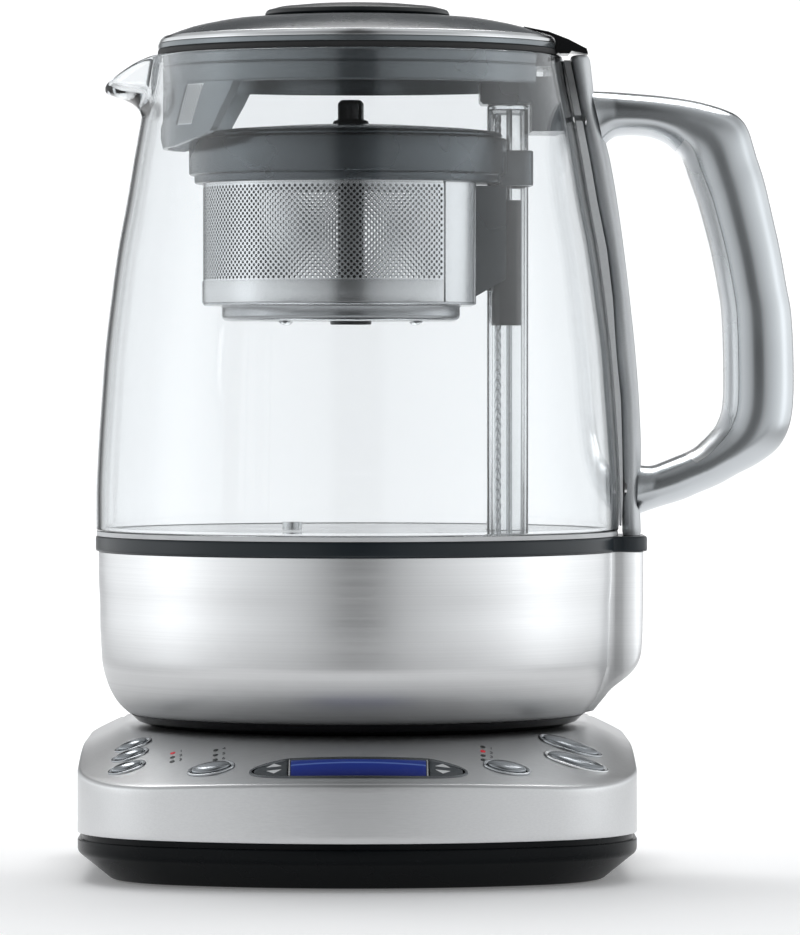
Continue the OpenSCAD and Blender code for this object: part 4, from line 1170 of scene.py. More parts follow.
def section(ox, oz, ix, iz, hw, ucut, keep, n=48, expo=2.2, gap=0.0):
    """Part of a rounded section: keep = 1 for the side of u above the cut, -1 for below."""
    cx, cz, ax, az = (ox + ix) / 2, (oz + iz) / 2, (ox - ix) / 2, (oz - iz) / 2
    e = 2 / expo
    ac = math.acos(max(-1.0, min(1.0, math.copysign(abs(ucut) ** (1 / e), ucut))))
    pts = []
    for k in range(n):
        if keep > 0:
            t = -ac + 2 * ac * k / (n - 1)
        else:
            t = ac + (2 * math.pi - 2 * ac) * k / (n - 1)
        c, s = math.cos(t), math.sin(t)
        u, v = math.copysign(abs(c) ** e, c), math.copysign(abs(s) ** e, s)
        pts.append((cx + ax * u, hw * v, cz + az * u))
    return pts


def handle_pieces():
    per = (len(PAIRS) - 1) / (len(HANDLE) - 1)
    shell_rows, liner_rows = [], []
    for k, (ox, oz, ix, iz) in enumerate(PAIRS):
        s = k / per
        width = math.hypot(ox - ix, oz - iz)
        hw = 10.5
        if s < 1.2:
            hw = lerp(9.6, 10.5, s / 1.2)
        if s > 24:
            hw = lerp(10.5, 9.6, (s - 24) / 1.0)
        cut = -1 + 2 * 4.3 / width
        if LINER_FROM <= s <= LINER_TO:
            if not liner_rows:
                shell_rows.append(section(ox, oz, ix, iz, hw, -0.9995, 1))
            shell_rows.append(section(ox, oz, ix, iz, hw, cut + 0.012, 1))
            liner_rows.append(section(ox, oz, ix, iz, hw - 0.12, cut, -1))
            last = (ox, oz, ix, iz, hw)
        else:
            if liner_rows and last:
                shell_rows.append(section(*last, -0.9995, 1))
                last = None
            shell_rows.append(section(ox, oz, ix, iz, hw, -0.9995, 1))
    Builder().loft(shell_rows, caps=True, close_v=False).piece("handle_body", SATIN_HANDLE, "jug", ["handle_shell"], 50)
    Builder().loft(liner_rows, caps=True, close_v=False).piece("handle_strip", LINER_MAT, "jug", ["handle_liner"], 50)


LINER_MAT = satin_metal("handle_strip_metal", (0.82, 0.83, 0.84), 0.26)
handle_pieces()

SPINE = [(247.1, 64.6, 70.8), (246, 64.8, 70.9), (240, 65.9, 71.6), (234, 67, 72.2), (224, 69.0, 74.8), (215.5, 70.6, 77), (203, 72.8, 79.2), (188, 75.8, 81.3),
         (173, 77.6, 83.1), (157.6, 78.3, 84.7), (142, 80.1, 85.9), (127, 80.4, 86.5), (112, 80.7, 86.2), (101.25, 80.8, 86.5)]


def spine_piece():
    left = sorted((z, l) for z, l, r in SPINE)
    right = sorted((z, r) for z, l, r in SPINE)
    rows = []
    n = 44
    zs = [101.3, 101.5, 102.2] + [104 + 3.1 * i for i in range(45)] + [244.9, 245.9, 246.6, 246.95, 247.1]
    for z in zs:
        l, r = smooth_table(left, z), smooth_table(right, z)
        shrink = 0.0
        if z > 245.1:
            t = min(1.0, (z - 245.1) / 2.0)
            shrink = 1.2 * (1 - math.sqrt(max(0.0, 1 - t * t)))
        if z < 101.6:
            shrink = 0.3
        cx, hx = (l + r) / 2, (r - l) / 2 - shrink * 0.8
        hw = 9.0 - shrink
        row = []
        for j in range(n):
            t = 2 * math.pi * j / n
            c, s = math.cos(t), math.sin(t)
            e = 2 / 2.15
            row.append((cx + hx * math.copysign(abs(c) ** e, c), hw * math.copysign(abs(s) ** e, s), z))
        rows.append(row)
    Builder().loft(rows, close_v=False, caps=True).piece("handle_spine_bar", SPINE_METAL, "jug", ["handle_spine"], 50)


spine_piece()


# ------------------------------------------------------------------ basket
BX = -2.0


def dpath(R, xf, rc, n_arc=None):
    """Round outline about the basket axis with a flat towards the column; counterclockwise from the flat's middle."""
    n_arc = n_arc or (180)
    cx = xf - rc
    cy = math.sqrt(max(0.0, (R - rc) ** 2 - (cx - BX) ** 2))
    a = math.atan2(cy, cx - BX)
    pts = []
    nf = 9
    for i in range(nf):
        pts.append((xf, cy * i / nf))
    nc = 12
    for i in range(nc):
        t = a * i / nc
        pts.append((cx + rc * math.cos(t), cy + rc * math.sin(t)))
    for i in range(n_arc):
        t = a + (2 * math.pi - 2 * a) * i / n_arc
        pts.append((BX + R * math.cos(t), R * math.sin(t)))
    for i in range(nc):
        t = -a + a * i / nc
        pts.append((cx + rc * math.cos(t), -cy + rc * math.sin(t)))
    for i in range(nf):
        pts.append((xf, -cy + cy * i / nf))
    return pts


def dring(R, xf, rc, z):
    return [(x, y, z) for x, y in dpath(R, xf, rc)]


SIEVE = satin_metal("sieve_steel", (0.78, 0.79, 0.80), 0.24)


def sieve_piece():
    """Thin wall with real round holes in staggered rows, from 52 to 308 degrees."""
    a0, a1, z0, z1 = math.radians(52), math.radians(308), 178.4, 207.4
    nh = 112
    nz = 16
    da, dz = (a1 - a0) / nh, (z1 - z0) / nz
    hole = 0.5
    b = Builder()
    verts, faces, index = [], [], {}

    def vert(u, w, side):
        key = (round(u, 5), round(w, 5), side)
        if key not in index:
            a, z = a0 + u * da, z0 + w * dz
            r = 45.0 if side else 44.25
            index[key] = len(verts)
            verts.append((BX + r * math.cos(a), r * math.sin(a), z))
        return index[key]

    su, sw = hole / (45 * da), hole / dz
    for i in range(2 * nh + 1):
        for j in range(2 * nz + 1):
            if (i + j) % 2 == 0:
                continue
            u, w = i / 2, j / 2
            # corners of the diamond, clamped to the strip
            cor = [(u + 0.5, w), (u, w + 0.5), (u - 0.5, w), (u, w - 0.5)]
            edge = any(c[0] < -1e-6 or c[0] > nh + 1e-6 or c[1] < -1e-6 or c[1] > nz + 1e-6 for c in cor)
            if edge:
                pts = []
                for c in cor:
                    if -1e-6 <= c[0] <= nh + 1e-6 and -1e-6 <= c[1] <= nz + 1e-6:
                        pts.append(c)
                if (u in (0, nh) or w in (0, nz)) and len(pts) == 3:
                    faces.append(tuple(vert(*p, 1) for p in pts))
                    faces.append(tuple(vert(*p, 0) for p in reversed(pts)))
                continue
            ring1, ring0 = [], []
            for k in range(8):
                t = math.pi / 4 * k
                pu, pw = u + su * math.cos(t), w + sw * math.sin(t)
                ring1.append(vert(pu, pw, 1))
                ring0.append(vert(pu, pw, 0))
            for q in range(4):
                c0, c1 = cor[q], cor[(q + 1) % 4]
                h0, h1, h2 = ring1[2 * q], ring1[2 * q + 1], ring1[(2 * q + 2) % 8]
                faces.append((vert(*c0, 1), vert(*c1, 1), h2, h1, h0))
                g0, g1, g2 = ring0[2 * q], ring0[2 * q + 1], ring0[(2 * q + 2) % 8]
                faces.append((g0, g1, g2, vert(*c1, 0), vert(*c0, 0)))
            for k in range(8):
                faces.append((ring1[k], ring1[(k + 1) % 8], ring0[(k + 1) % 8], ring0[k]))
    # rim faces along the four borders
    for j in range(nz):
        for u, flip in ((0, False), (nh, True)):
            f = (vert(u, j, 1), vert(u, j + 1, 1), vert(u, j + 1, 0), vert(u, j, 0))
            faces.append(f[::-1] if flip else f)
    for i in range(nh):
        for w, flip in ((0, True), (nz, False)):
            f = (vert(i, w, 1), vert(i + 1, w, 1), vert(i + 1, w, 0), vert(i, w, 0))
            faces.append(f[::-1] if flip else f)
    b.add(verts, faces)
    return b.piece("sieve", SIEVE, "basket", [], 30)


sieve_piece()


def wall_strip(b, path, z0, z1, t=0.8, proud=0.0):
    """A thin upright strip along an open path of (x, y, nx, ny)."""
    rows = []
    prof = fillet([(proud, z0), (proud, z1), (-t, z1), (-t, z0)], [0.15] * 4, True, 2)
    for x, y, nx, ny in path:
        rows.append([(x + nx * d, y + ny * d, z) for d, z in prof])
    b.loft(rows, close_v=False, caps=True)


def wall_path(lo, hi, R=45.0, xf=35.6, rc=5.0):
    """Points of the basket outline whose polar angle about its axis lies between lo and hi degrees."""
    pts = dpath(R, xf, rc, 240)
    out = []
    n = len(pts)
    for i, (x, y) in enumerate(pts):
        a = math.degrees(math.atan2(y, x - BX)) % 360
        out.append((a, x, y))
    if lo < 0:
        out = sorted(((a - 360 if a > 180 else a), x, y) for a, x, y in out)
    else:
        out = sorted(out)
    sel = [(x, y) for a, x, y in out if lo - 1e-6 <= a <= hi + 1e-6]
    res = []
    for i, (x, y) in enumerate(sel):
        p, q = sel[max(0, i - 1)], sel[min(len(sel) - 1, i + 1)]
        tx, ty = q[0] - p[0], q[1] - p[1]
        l = math.hypot(tx, ty) or 1
        res.append((x, y, ty / l, -tx / l))
    return res


b = Builder()
wall_strip(b, wall_path(-52.2, 52.2), 171.8, 221.2)
wall_strip(b, wall_path(51.9, 308.1), 171.8, 178.42, 0.8, 0.35)
wall_strip(b, wall_path(51.9, 308.1), 207.38, 221.2, 0.8)
b.piece("basket_bands", STEEL_PLAIN, "basket", ["basket_wall"], 40)

# dished floor with its black hub
rows = []
for R, xf, rc, z in ((43.9, 34.5, 4.0, 171.0), (44.6, 35.2, 4.7, 171.0), (45.0, 35.6, 5.0, 171.3), (45.0, 35.6, 5.0, 171.75), (44.0, 34.6, 4.1, 171.75),
                     (39.8, 31.3, 4.6, 171.6), (38.9, 30.4, 4.4, 171.2), (38.5, 30.0, 4.2, 170.4), (38.4, 29.9, 4.1, 168.2), (37.9, 29.4, 4.0, 167.6), (36.8, 28.4, 3.8, 167.3)):
    rows.append(dring(R, xf, rc, z))
top = [(BX, 0, 167.3)]
low = []
for R, xf, rc, z in ((37.2, 28.8, 4.0, 166.3), (38.4, 30.0, 4.5, 166.5), (39.1, 30.6, 4.9, 167.1), (39.3, 30.8, 5.0, 168.0), (39.3, 30.8, 5.0, 170.2), (39.7, 31.2, 5.0, 170.8), (41.0, 32.4, 5.0, 171.0)):
    low.append(dring(R, xf, rc, z))
seq = [(BX, 0, 166.3), dring(18, 14, 3, 166.3)] + low + rows + [dring(18, 14, 3, 167.3), (BX, 0, 167.3)]
b = Builder().fan_caps(seq)
b.piece("basket_dish", DISH_STEEL, "basket", ["basket_floor"], 40)
lathe("basket_hub", fillet([(0, 165.2), (6.3, 165.2), (6.3, 168.0), (4.6, 168.6), (4.6, 166.9), (0, 166.9)], [0, 0.6, 0.5, 0.3, 0.2, 0]), BLACK, "basket", BX, 0, 64)
b = Builder()
for a in (50, 130, 230, 310):
    cx, cy = BX + 31 * math.cos(math.radians(a)), 31 * math.sin(math.radians(a))
    seq = [(cx, cy, 165.2)] + [[(cx + r * math.cos(t), cy + r * math.sin(t), z) for t in [2 * math.pi * i / 24 for i in range(24)]]
                               for r, z in ((0.8, 165.22), (1.25, 165.4), (1.7, 165.8), (2.3, 166.35))] + [(cx, cy, 166.35)]
    b.fan_caps(seq)
b.piece("basket_toes", STEEL_PLAIN, "basket")

# ring around the top of the basket, with the clip that runs on the column
rows = []
for R, xf, rc, z in ((45.06, 35.65, 5.0, 221.1), (45.5, 36.0, 5.1, 221.45), (48.4, 44.0, 4.6, 221.5), (49.0, 44.6, 4.9, 221.3), (49.3, 44.9, 5, 220.8),
                     (49.3, 44.9, 5, 216), (49.3, 44.9, 5, 211.3), (49.1, 44.7, 4.9, 210.8), (48.6, 44.3, 4.7, 210.55), (47.9, 43.7, 4.3, 210.4), (47.65, 43.45, 4.1, 210.1),
                     (47.6, 43.4, 4, 208.6), (47.4, 43.2, 4, 208.2), (46.9, 42.7, 4, 208.0), (45.3, 36.4, 5.0, 208.0), (45.06, 35.65, 5.0, 208.3)):
    rows.append(dring(R, xf, rc, z))
ring = Builder().loft(rows).piece("basket_collar", GREY_PLASTIC, "basket", ["basket_ring"], 40)


def oblong(d, z, n=12, r=4.0, x0=39.5, x1=52.0, h=7.0):
    cx, hx, hy, rr = (x0 + x1) / 2, (x1 - x0) / 2 + d, h + d, r + d
    pts = []
    for sx, sy, st in ((1, 1, 0), (-1, 1, 90), (-1, -1, 180), (1, -1, 270)):
        for i in range(n + 1):
            t = math.radians(st + 90 * i / n)
            pts.append((cx + sx * (hx - rr) + rr * math.cos(t), sy * (hy - rr) + rr * math.sin(t), z))
    return pts


boolean_cut(ring, Builder().loft([oblong(0.4, z) for z in (200, 230)], close_v=False, caps=True))
clip = Builder()
prof = [(0.0, 207.6), (0.0, 217.7)]
rows = []
for d, z in ((-0.5, 207.3), (-0.12, 207.42), (0, 207.8), (0, 217.4), (-0.12, 217.85), (-0.5, 218)):
    pts = []
    for x, y in fillet([(43.2, -10.2), (53.3, -10.2), (53.3, 10.2), (43.2, 10.2)], [0.4, 3, 3, 0.4], True, 8):
        cx, cy = 48.2, 0
        sx, sy = (abs(x - cx) + d) / abs(x - cx), (abs(y) + d) / max(abs(y), 1e-6)
        pts.append((cx + (x - cx) * sx, y * sy, z))
    rows.append(pts)
clip.loft(rows, close_v=False, caps=True)
clip = clip.piece("basket_clip", GREY_PLASTIC, "basket", [], 40)
boolean_cut(clip, Builder().loft([oblong(0.4, z) for z in (200, 230)], close_v=False, caps=True))

# lid of the basket and its stem
rows = [(BX, 0, 221.62), dring(20, 16, 3, 221.62), dring(47.2, 42.7, 4.4, 221.62), dring(48.0, 43.4, 4.9, 221.75), dring(48.2, 43.6, 5, 222.1), dring(48.1, 43.5, 5, 222.5),
        dring(47.6, 43.1, 4.9, 222.85), dring(46, 41.8, 4.6, 223.5), dring(38, 33.6, 4.2, 224.4), dring(30, 26, 4, 224.95), dring(20, 16, 3, 225.6), dring(12, 9, 3, 225.95), (BX, 0, 226)]
bl = Builder().fan_caps(rows).piece("basket_cover", GREY_LID, "basket_lid", ["basket_lid"], 40)
boolean_cut(bl, Builder().loft([oblong(0.9, z) for z in (215, 235)], close_v=False, caps=True))
stem = [(0, 169.5), (3.3, 169.5), (3.95, 170.5), (3.95, 219.5), (3.55, 219.8), (3.55, 220.4), (3.95, 220.7), (3.95, 226.0), (5.6, 226.3), (5.2, 227.2), (3.95, 227.6), (3.95, 232.4), (3.0, 233.5), (0, 233.5)]
lathe("basket_post", fillet(stem, [0, 0.4, 0.4, 0.1, 0.1, 0.1, 0.1, 0.2, 0.3, 0.4, 0.4, 0.6, 0.6, 0]), BLACK_GLOSS, "basket_lid", BX, 0, 64, ["basket_stem"])

# clear column, a real tube
rows = [oblong(-0.15, 96.0), oblong(0, 96.2), oblong(0, 140), oblong(0, 190), oblong(0, 230.8), oblong(-0.15, 231.6), oblong(-0.5, 231.92), oblong(-1.2, 232.0)]
tube = Builder()
inner_rows = [oblong(-1, 96.0), oblong(-1, 140), oblong(-1, 190), oblong(-1, 229.8), oblong(-1.3, 230.4), oblong(-2, 230.6)]


def centre_pt(z):
    return ((39.5 + 52) / 2, 0, z)


verts = []
tube_rows = [centre_pt(232.0)] + rows[::-1] + inner_rows + [centre_pt(230.6)]
tube.fan_caps(tube_rows).piece("column_glass", CLEAR, "jug", ["column_tube"], 45)


# lift screw with a four-start thread, and its pulley
def screw_piece():
    n, rows = 24, []
    for z in [48.0, 50.0] + [55.0] + [60.9 + 0.4 * i for i in range(int((229.0 - 60.9) / 0.4))] + [229.3]:
        row = []
        for j in range(n):
            t = 2 * math.pi * j / n
            r = 1.08 + 0.11 * math.cos(4 * (t - 2 * math.pi * z / 12)) if 60.8 < z < 229.2 else 1.15
            row.append((42.7 + r * math.cos(t), r * math.sin(t), z))
        rows.append(row)
    b = Builder().loft(rows, close_v=False, caps=True)
    pulley(b, 42.7)
    b.piece("lift_screw", STEEL_PLAIN, "lead_screw", ["lead_screw"], 60)


def pulley(b, x):
    n = 96
    prof = [(1.15, 55.4), (6.1, 55.4), (6.3, 55.6), (6.3, 56.15), (6.1, 56.3), (4.9, 56.34), (4.9, 59.86), (6.1, 59.9), (6.3, 60.05), (6.3, 60.6), (6.1, 60.8), (1.15, 60.8)]
    rows = []
    for r, z in prof:
        row = []
        for j in range(n):
            t = 2 * math.pi * j / n
            rr = r - (0.3 if r == 4.9 and (j // 3) % 2 else 0)
            row.append((x + rr * math.cos(t), rr * math.sin(t), z))
        rows.append(row)
    b.loft(rows)


screw_piece()
b = Builder()
pulley(b, 66)
b.loft([[(66 + r * math.cos(t), r * math.sin(t), z) for t in [2 * math.pi * i / 32 for i in range(32)]] for r, z in ((1.3, 54.6), (1.5, 54.8), (1.5, 71.8), (1.3, 72.0))], close_v=False, caps=True)
b.piece("motor_wheel", BRASS, "motor_pulley", ["motor_pulley"], 40)


# ------------------------------------------------------------------ lid
DOME = [(5.2, 258.8), (28, 258.8), (33, 258.5), (38.8, 258), (43, 257.3), (47.4, 256.4), (51, 255.5), (54, 254.5), (56.6, 253.5), (58.6, 252.72),
        (56.6, 252.7), (53.4, 252.9), (46.6, 254.8), (38.4, 256.2), (5.2, 256.8)]
lathe("lid_dome", fillet(DOME, [0.2, 0, 0, 0, 0, 0, 0, 0, 0, 0.3, 0.2, 0.4, 0, 0, 0.2], True, 3), DOME_GREY, "lid", seg=192, replaces=["lid_cap"])
lathe("lid_silver_band", fillet([(57, 250.62), (60.5, 250.62), (60.15, 251.7), (59.3, 252.68), (57, 252.68)], [0.1, 0.25, 0.5, 0.4, 0.1]), BRIGHT, "lid", seg=192, replaces=["lid_band"])
KNOB = [(0, 250.8), (5, 250.8), (5, 258.86), (27.3, 258.86), (28.2, 259.6), (27.5, 260.9), (24, 261.85), (16, 262.65), (8, 263), (0, 263)]
lathe("lid_disc", fillet(KNOB, [0, 0.2, 0.3, 0.3, 0.5, 0.9, 2, 3, 2, 0], True, 4), DISC, "lid", seg=160, replaces=["lid_knob"])


APRON = [(218.6, 21), (219.6, 28), (221, 35), (222.5, 39.6), (223.6, 40.8), (233.5, 45.4), (238, 47)]


def apron_half(z):
    """Half width of the apron at a height."""
    return interp(APRON, z)


def window(z):
    """Inner and outer edge of the pierced patch at a height."""
    return 24.6 + 0.55 * (z - 225), 33.3 + 0.425 * (z - 225)


def lid_skirt_piece():
    b = Builder()
    full = [2 * math.pi * i / 200 for i in range(200)]

    def ring(r, z):
        return [(r * math.cos(t), r * math.sin(t), z) for t in full]

    # flange with the stepped band under it
    prof = fillet([(50, 248.9), (57.9, 248.9), (57.9, 247.2), (59.2, 247.2), (59.2, 248.9), (60.6, 248.9), (60.6, 250.58), (50, 250.58)], [0.2, 0.1, 0.1, 0.1, 0.05, 0.35, 0.35, 0.2], True, 4)
    b.loft([ring(r, z) for r, z in prof])
    # wall from the flange down, open at the notch where the column's bracket stands
    a0, a1 = math.radians(27.2), math.radians(360 - 27.2)
    m = 220
    prof = fillet([(57.75, 237.35), (59.0, 237.35), (59.2, 238.1), (59.2, 242.7), (58.75, 243.1), (59.2, 243.5), (59.2, 247.2), (57.9, 247.2), (57.75, 244.6), (57.75, 243)],
                  [0.2, 0.3, 0.3, 0.15, 0.15, 0.15, 0, 0, 0, 0], True, 3)
    b.loft([[(r * math.cos(a0 + (a1 - a0) * i / m), r * math.sin(a0 + (a1 - a0) * i / m), z) for r, z in prof] for i in range(m + 1)], close_v=False, caps=True)
    # floor plate
    prof = [(8.0, 243.0), (47.7, 243.0), (47.7, 244.4), (8.0, 244.4)]
    b.loft([ring(r, z) for r, z in fillet(prof, [0.1, 0.3, 0.3, 0.1])])
    b.loft([[(r * math.cos(a0 + (a1 - a0) * i / m), r * math.sin(a0 + (a1 - a0) * i / m), z) for r, z in ((47.6, 243.0), (57.8, 243.0), (57.8, 244.4), (47.6, 244.4))]
            for i in range(m + 1)], close_v=False, caps=True)
    b.loft([ring(r, z) for r, z in fillet([(5.1, 243.0), (8.1, 243.0), (8.1, 250.6), (5.1, 250.6)], [0.1, 0.3, 0.3, 0.2])])
    # apron behind the spout, with a slanted window at either side for the sieve
    R = 59.2
    vs = [218.6, 218.75, 219.1, 219.6, 220.3, 221, 221.8, 222.5, 223.0, 223.6, 224.3] + [225 + 1.0 * i for i in range(13)] + [237.5]
    verts, faces, solid = [], [], set()
    NU = 44

    def knots(z):
        """Across the apron: evenly spaced, with columns that follow the window's edges."""
        h = apron_half(z)
        w0, w1 = window(z)
        if z < 225:
            w0, w1 = h * window(225)[0] / apron_half(225), h * window(225)[1] / apron_half(225)
        half = [w0 * i / 12 for i in range(13)] + [lerp(w0, w1, i / 5) for i in range(1, 6)] + [lerp(w1, h, i / 5) for i in range(1, 6)]
        return [-u for u in half[:0:-1]] + half

    nuu, nvv = NU + 1, len(vs)
    for side in (1, 0):
        for z in vs:
            for y in knots(z):
                r = R if side else 57.75
                swell = 0.8 * math.cos(math.pi / 2 * min(1.0, abs(y) / 12)) ** 2 * min(1.0, (z - 218.6) / 3) * max(0.0, min(1.0, (227 - z) / 2)) if side else 0
                verts.append((-math.sqrt((r + swell) ** 2 - y * y), y, z))
    k = nuu * nvv
    for j in range(nvv - 1):
        for i in range(nuu - 1):
            c = i if i < NU // 2 else i
            d = abs(c + 0.5 - NU / 2)
            if vs[j] >= 225 and vs[j + 1] <= 237.01 and 12 < d < 17:
                continue
            solid.add((i, j))
    for i, j in solid:
        q = (j * nuu + i, j * nuu + i + 1, (j + 1) * nuu + i + 1, (j + 1) * nuu + i)
        faces.append(q)
        faces.append(tuple(k + t for t in reversed(q)))
        for di, dj, e in ((-1, 0, (3, 0)), (1, 0, (1, 2)), (0, -1, (0, 1)), (0, 1, (2, 3))):
            if (i + di, j + dj) not in solid:
                p, r_ = q[e[0]], q[e[1]]
                faces.append((r_, p, k + p, k + r_))
    b.add(verts, faces)
    b.piece("lid_wall", GREY_WALL, "lid", ["lid_skirt"], 40)


lid_skirt_piece()
lathe("lid_gasket", fillet([(59.25, 246.75), (60.4, 246.75), (60.75, 247.3), (60.75, 248.4), (60.4, 248.86), (59.25, 248.86)], [0.1, 0.3, 0.3, 0.3, 0.3, 0.1]), RUBBER, "lid", seg=192, replaces=["lid_seal"])


def filter_piece():
    """Two sieve patches beside the spout with round holes in staggered rows."""
    nu, nz, R = 7, 10, 58.95
    z0, z1 = 225.03, 236.97
    b = Builder()
    for sy, open_ in ((-1, 0.31), (1, 0.41)):
        verts, faces, index = [], [], {}

        def vert(u, w, side):
            key = (round(u, 5), round(w, 5), side)
            if key not in index:
                z = lerp(z0, z1, w / nz)
                w0, w1 = window(z)
                y = sy * lerp(w0 + 0.03, w1 - 0.03, u / nu)
                r = R if side else 58.5
                index[key] = len(verts)
                verts.append((-math.sqrt(r * r - y * y), y, z))
            return index[key]

        for i in range(2 * nu + 1):
            for j in range(2 * nz + 1):
                if (i + j) % 2 == 0:
                    continue
                u, w = i / 2, j / 2
                cor = [(u + 0.5, w), (u, w + 0.5), (u - 0.5, w), (u, w - 0.5)]
                inside = [c for c in cor if -1e-6 <= c[0] <= nu + 1e-6 and -1e-6 <= c[1] <= nz + 1e-6]
                if len(inside) < 4:
                    if len(inside) == 3:
                        faces.append(tuple(vert(*p, 1) for p in inside))
                        faces.append(tuple(vert(*p, 0) for p in reversed(inside)))
                    continue
                r1, r0 = [], []
                for q in range(8):
                    t = math.pi / 4 * q
                    r1.append(vert(u + open_ * math.cos(t), w + open_ * math.sin(t), 1))
                    r0.append(vert(u + open_ * math.cos(t), w + open_ * math.sin(t), 0))
                for q in range(4):
                    c0, c1 = cor[q], cor[(q + 1) % 4]
                    faces.append((vert(*c0, 1), vert(*c1, 1), r1[(2 * q + 2) % 8], r1[2 * q + 1], r1[2 * q]))
                    faces.append((r0[2 * q], r0[2 * q + 1], r0[(2 * q + 2) % 8], vert(*c1, 0), vert(*c0, 0)))
                for q in range(8):
                    faces.append((r1[q], r1[(q + 1) % 8], r0[(q + 1) % 8], r0[q]))
        for j in range(nz):
            for u in (0, nu):
                faces.append((vert(u, j, 1), vert(u, j + 1, 1), vert(u, j + 1, 0), vert(u, j, 0)))
        for i in range(nu):
            for w in (0, nz):
                faces.append((vert(i, w, 1), vert(i + 1, w, 1), vert(i + 1, w, 0), vert(i, w, 0)))
        b.add(verts, faces)
    b.piece("spout_sieve", FILTER, "lid", ["spout_filter"], 30)


filter_piece()

# ------------------------------------------------------------------ the rest keeps its construction shape
for node, mat in {
    "base_screws": STEEL_PLAIN, "coupler_housing": BLACK, "coupler_contacts": BRASS, "control_board": BOARD, "power_board": BOARD,
    "display_module": BLACK, "jug_connector": BLACK, "jug_foot": BLACK_GLOSS, "foot_screws": STEEL_PLAIN, "heater_plate": STEEL_PLAIN,
    "heating_element": CAST, "temp_sensor": STEEL_PLAIN, "vessel_seal": SILICONE, "guide_rod": STEEL_PLAIN, "column_bracket": GREY_PLASTIC,
    "lift_motor": CAST, "drive_belt": BELT, "carriage": BLACK, "magnets": STEEL_PLAIN, "basket_bracket": GREY_PLASTIC,
    "lid_tail": BLACK_GLOSS, "spine_core": CORE_GREY, "handle_screws": STEEL_PLAIN,
}.items():
    ob = NODES[node]
    for s in range(max(1, len(ob.material_slots))):
        if len(ob.material_slots) == 0:
            ob.data.materials.append(mat)
        else:
            ob.material_slots[s].material = mat

# ------------------------------------------------------------------ stage
def card(name, cx, cy, cz, w, h, look, strength, colour=(1, 1, 1)):
    """A soft light panel facing a point."""
    l = bpy.data.lights.new(name, "AREA")
    l.shape = "RECTANGLE"
    l.size, l.size_y = w, h
    l.energy = strength
    l.color = colour
    ob = bpy.data.objects.new(name, l)
    ob.location = (cx, cy, cz)
    ob.rotation_euler = (Vector(look) - Vector((cx, cy, cz))).to_track_quat("-Z", "Y").to_euler()
    bpy.context.scene.collection.objects.link(ob)
    return ob


def stage_mesh(name, verts, faces, mat):
    me = bpy.data.meshes.new(name)
    me.from_pydata(verts, [], faces)
    me.materials.append(mat)
    ob = bpy.data.objects.new(name, me)
    bpy.context.scene.collection.objects.link(ob)
    return ob


floor_mat, nt, bsdf = nodes_of("stage_floor")
bsdf.inputs["Base Color"].default_value = (0.94, 0.94, 0.945, 1)
bsdf.inputs["Roughness"].default_value = 0.6
bsdf.inputs["Specular IOR Level"].default_value = 0.2
bsdf.inputs["Emission Color"].default_value = (1, 1, 1, 1)


def smath(op, a, b_=None, clamp=False):
    n = nt.nodes.new("ShaderNodeMath")
    n.operation = op
    n.use_clamp = clamp
    for i, v in enumerate((a, b_)):
        if isinstance(v, (int, float)):
            n.inputs[i].default_value = v
        elif v is not None:
            nt.links.new(v, n.inputs[i])
    return n.outputs[0]


def step(value, a, b_, lo, hi):
    """A soft step from lo at a to hi at b."""
    m = nt.nodes.new("ShaderNodeMapRange")
    m.interpolation_type = "SMOOTHSTEP"
    m.inputs["From Min"].default_value = a
    m.inputs["From Max"].default_value = b_
    m.inputs["To Min"].default_value = lo
    m.inputs["To Max"].default_value = hi
    nt.links.new(value, m.inputs["Value"])
    return m.outputs[0]


tc = nt.nodes.new("ShaderNodeTexCoord")
sp = nt.nodes.new("ShaderNodeSeparateXYZ")
nt.links.new(tc.outputs["Object"], sp.inputs[0])
side = smath("ABSOLUTE", smath("SUBTRACT", sp.outputs["X"], JX))
# the floor is white in front of the lens and greyer beside the object
near = smath("MULTIPLY", step(side, 0.20, 0.46, 1.0, 0.55), step(sp.outputs["Y"], -0.42, -0.25, 0.30, 1.0))
# the wall is white behind the object, dark beside and above that
far = smath("MULTIPLY", step(side, 0.36, 0.58, 1.0, 0.10), step(sp.outputs["Z"], 0.50, 0.75, 1.0, 0.16))
reach = step(sp.outputs["Y"], 0.9, 1.3, 0.0, 1.0)
shade = smath("ADD", smath("MULTIPLY", near, smath("SUBTRACT", 1.0, reach)), smath("MULTIPLY", far, reach))
grey = nt.nodes.new("ShaderNodeMix")
grey.data_type = "RGBA"
grey.inputs["A"].default_value = (0.0, 0.0, 0.0, 1)
grey.inputs["B"].default_value = (0.94, 0.94, 0.945, 1)
nt.links.new(shade, grey.inputs["Factor"])
nt.links.new(grey.outputs["Result"], bsdf.inputs["Base Color"])
nt.links.new(smath("MULTIPLY", shade, step(sp.outputs["Y"], 0.05, 1.3, 0.14, 0.29)), bsdf.inputs["Emission Strength"])
# floor that sweeps up behind the object
verts, faces = [], []
prof = [(-0.46, 0.0), (1.2, 0.0)] + [(1.2 + 0.8 * math.sin(math.radians(t)), 0.8 - 0.8 * math.cos(math.radians(t))) for t in range(10, 91, 10)] + [(2.0, 2.2)]
for y, z in prof:
    verts += [(JX - (0.48 if y < 1.0 else 0.75), y, z), (JX + (0.48 if y < 1.0 else 0.75), y, z)]
for i in range(len(prof) - 1):
    faces.append((2 * i, 2 * i + 1, 2 * i + 3, 2 * i + 2))
floor = stage_mesh("sweep_floor", verts, faces, floor_mat)
for p in floor.data.polygons:
    p.use_smooth = True

world = bpy.data.worlds.new("world")
bpy.context.scene.world = world
world.use_nodes = True
nt = world.node_tree
bg = nt.nodes["Background"]


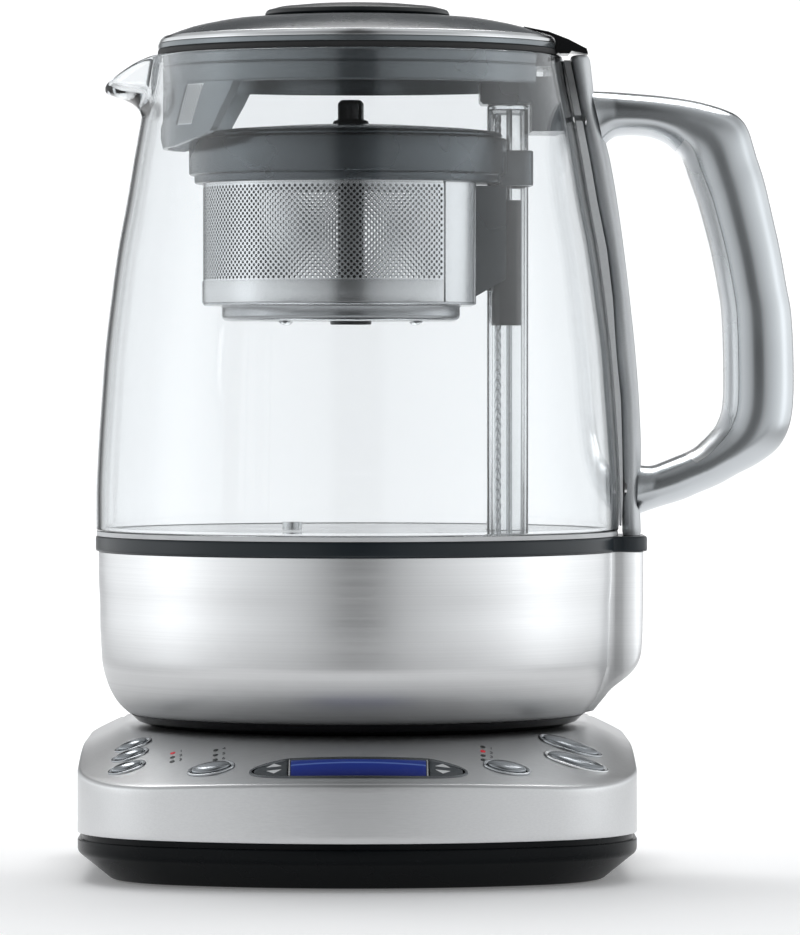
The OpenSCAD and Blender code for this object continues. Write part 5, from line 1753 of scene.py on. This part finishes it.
def math_node(op, a=None, b_=None):
    n = nt.nodes.new("ShaderNodeMath")
    n.operation = op
    for i, v in enumerate((a, b_)):
        if v is None:
            continue
        if isinstance(v, (int, float)):
            n.inputs[i].default_value = v
        else:
            nt.links.new(v, n.inputs[i])
    return n.outputs[0]


def ramp_node(value, stops):
    r = nt.nodes.new("ShaderNodeValToRGB")
    nt.links.new(value, r.inputs[0])
    e = r.color_ramp.elements
    e[0].position, e[0].color = stops[0][0], (stops[0][1],) * 3 + (1,)
    e[1].position, e[1].color = stops[-1][0], (stops[-1][1],) * 3 + (1,)
    for p, c in stops[1:-1]:
        e.new(p).color = (c, c, c, 1)
    return r.outputs[0]


# a white room that is darker where the viewer stands, and above
tc = nt.nodes.new("ShaderNodeTexCoord")
sp = nt.nodes.new("ShaderNodeSeparateXYZ")
nt.links.new(tc.outputs["Generated"], sp.inputs[0])
flat = math_node("SQRT", math_node("ADD", math_node("MULTIPLY", sp.outputs["X"], sp.outputs["X"]), math_node("MULTIPLY", sp.outputs["Y"], sp.outputs["Y"])))
# the cosine of the direction's turn away from the viewer's side, moved to 0..1
turn = math_node("ARCCOSINE", math_node("DIVIDE", math_node("MULTIPLY", sp.outputs["Y"], -1.0), math_node("MAXIMUM", flat, 0.001)))
turn = math_node("DIVIDE", turn, math.pi)


def deg(a):
    return a / 180.0


around = ramp_node(turn, [(deg(0), 0.06), (deg(9), 0.06), (deg(14), 0.22), (deg(20), 0.26), (deg(33), 0.33), (deg(55), 0.43), (deg(70), 0.50),
                          (deg(80), 0.65), (deg(88), 0.72), (deg(97), 0.66), (deg(107), 0.55), (deg(140), 0.46), (deg(152), 0.40), (deg(158), 0.12),
                          (deg(168), 0.12), (deg(180), 0.44)])
up = ramp_node(math_node("ADD", math_node("MULTIPLY", sp.outputs["Z"], 0.5), 0.5),
               [(0.0, 0.6), (0.44, 0.95), (0.5, 1.0), (0.6, 0.95), (0.78, 0.48), (1.0, 0.42)])
both = math_node("MULTIPLY", around, up)
bg.inputs[0].default_value = (0.965, 0.985, 1.0, 1)
nt.links.new(math_node("MULTIPLY", both, 2.35), bg.inputs[1])

card("top_soft", 0.0, 0.95, 1.75, 1.6, 1.0, (0, 0, 0.1), 24)

# ------------------------------------------------------------------ sizes
bpy.context.view_layer.update()
lo, hi = CAD_BOX
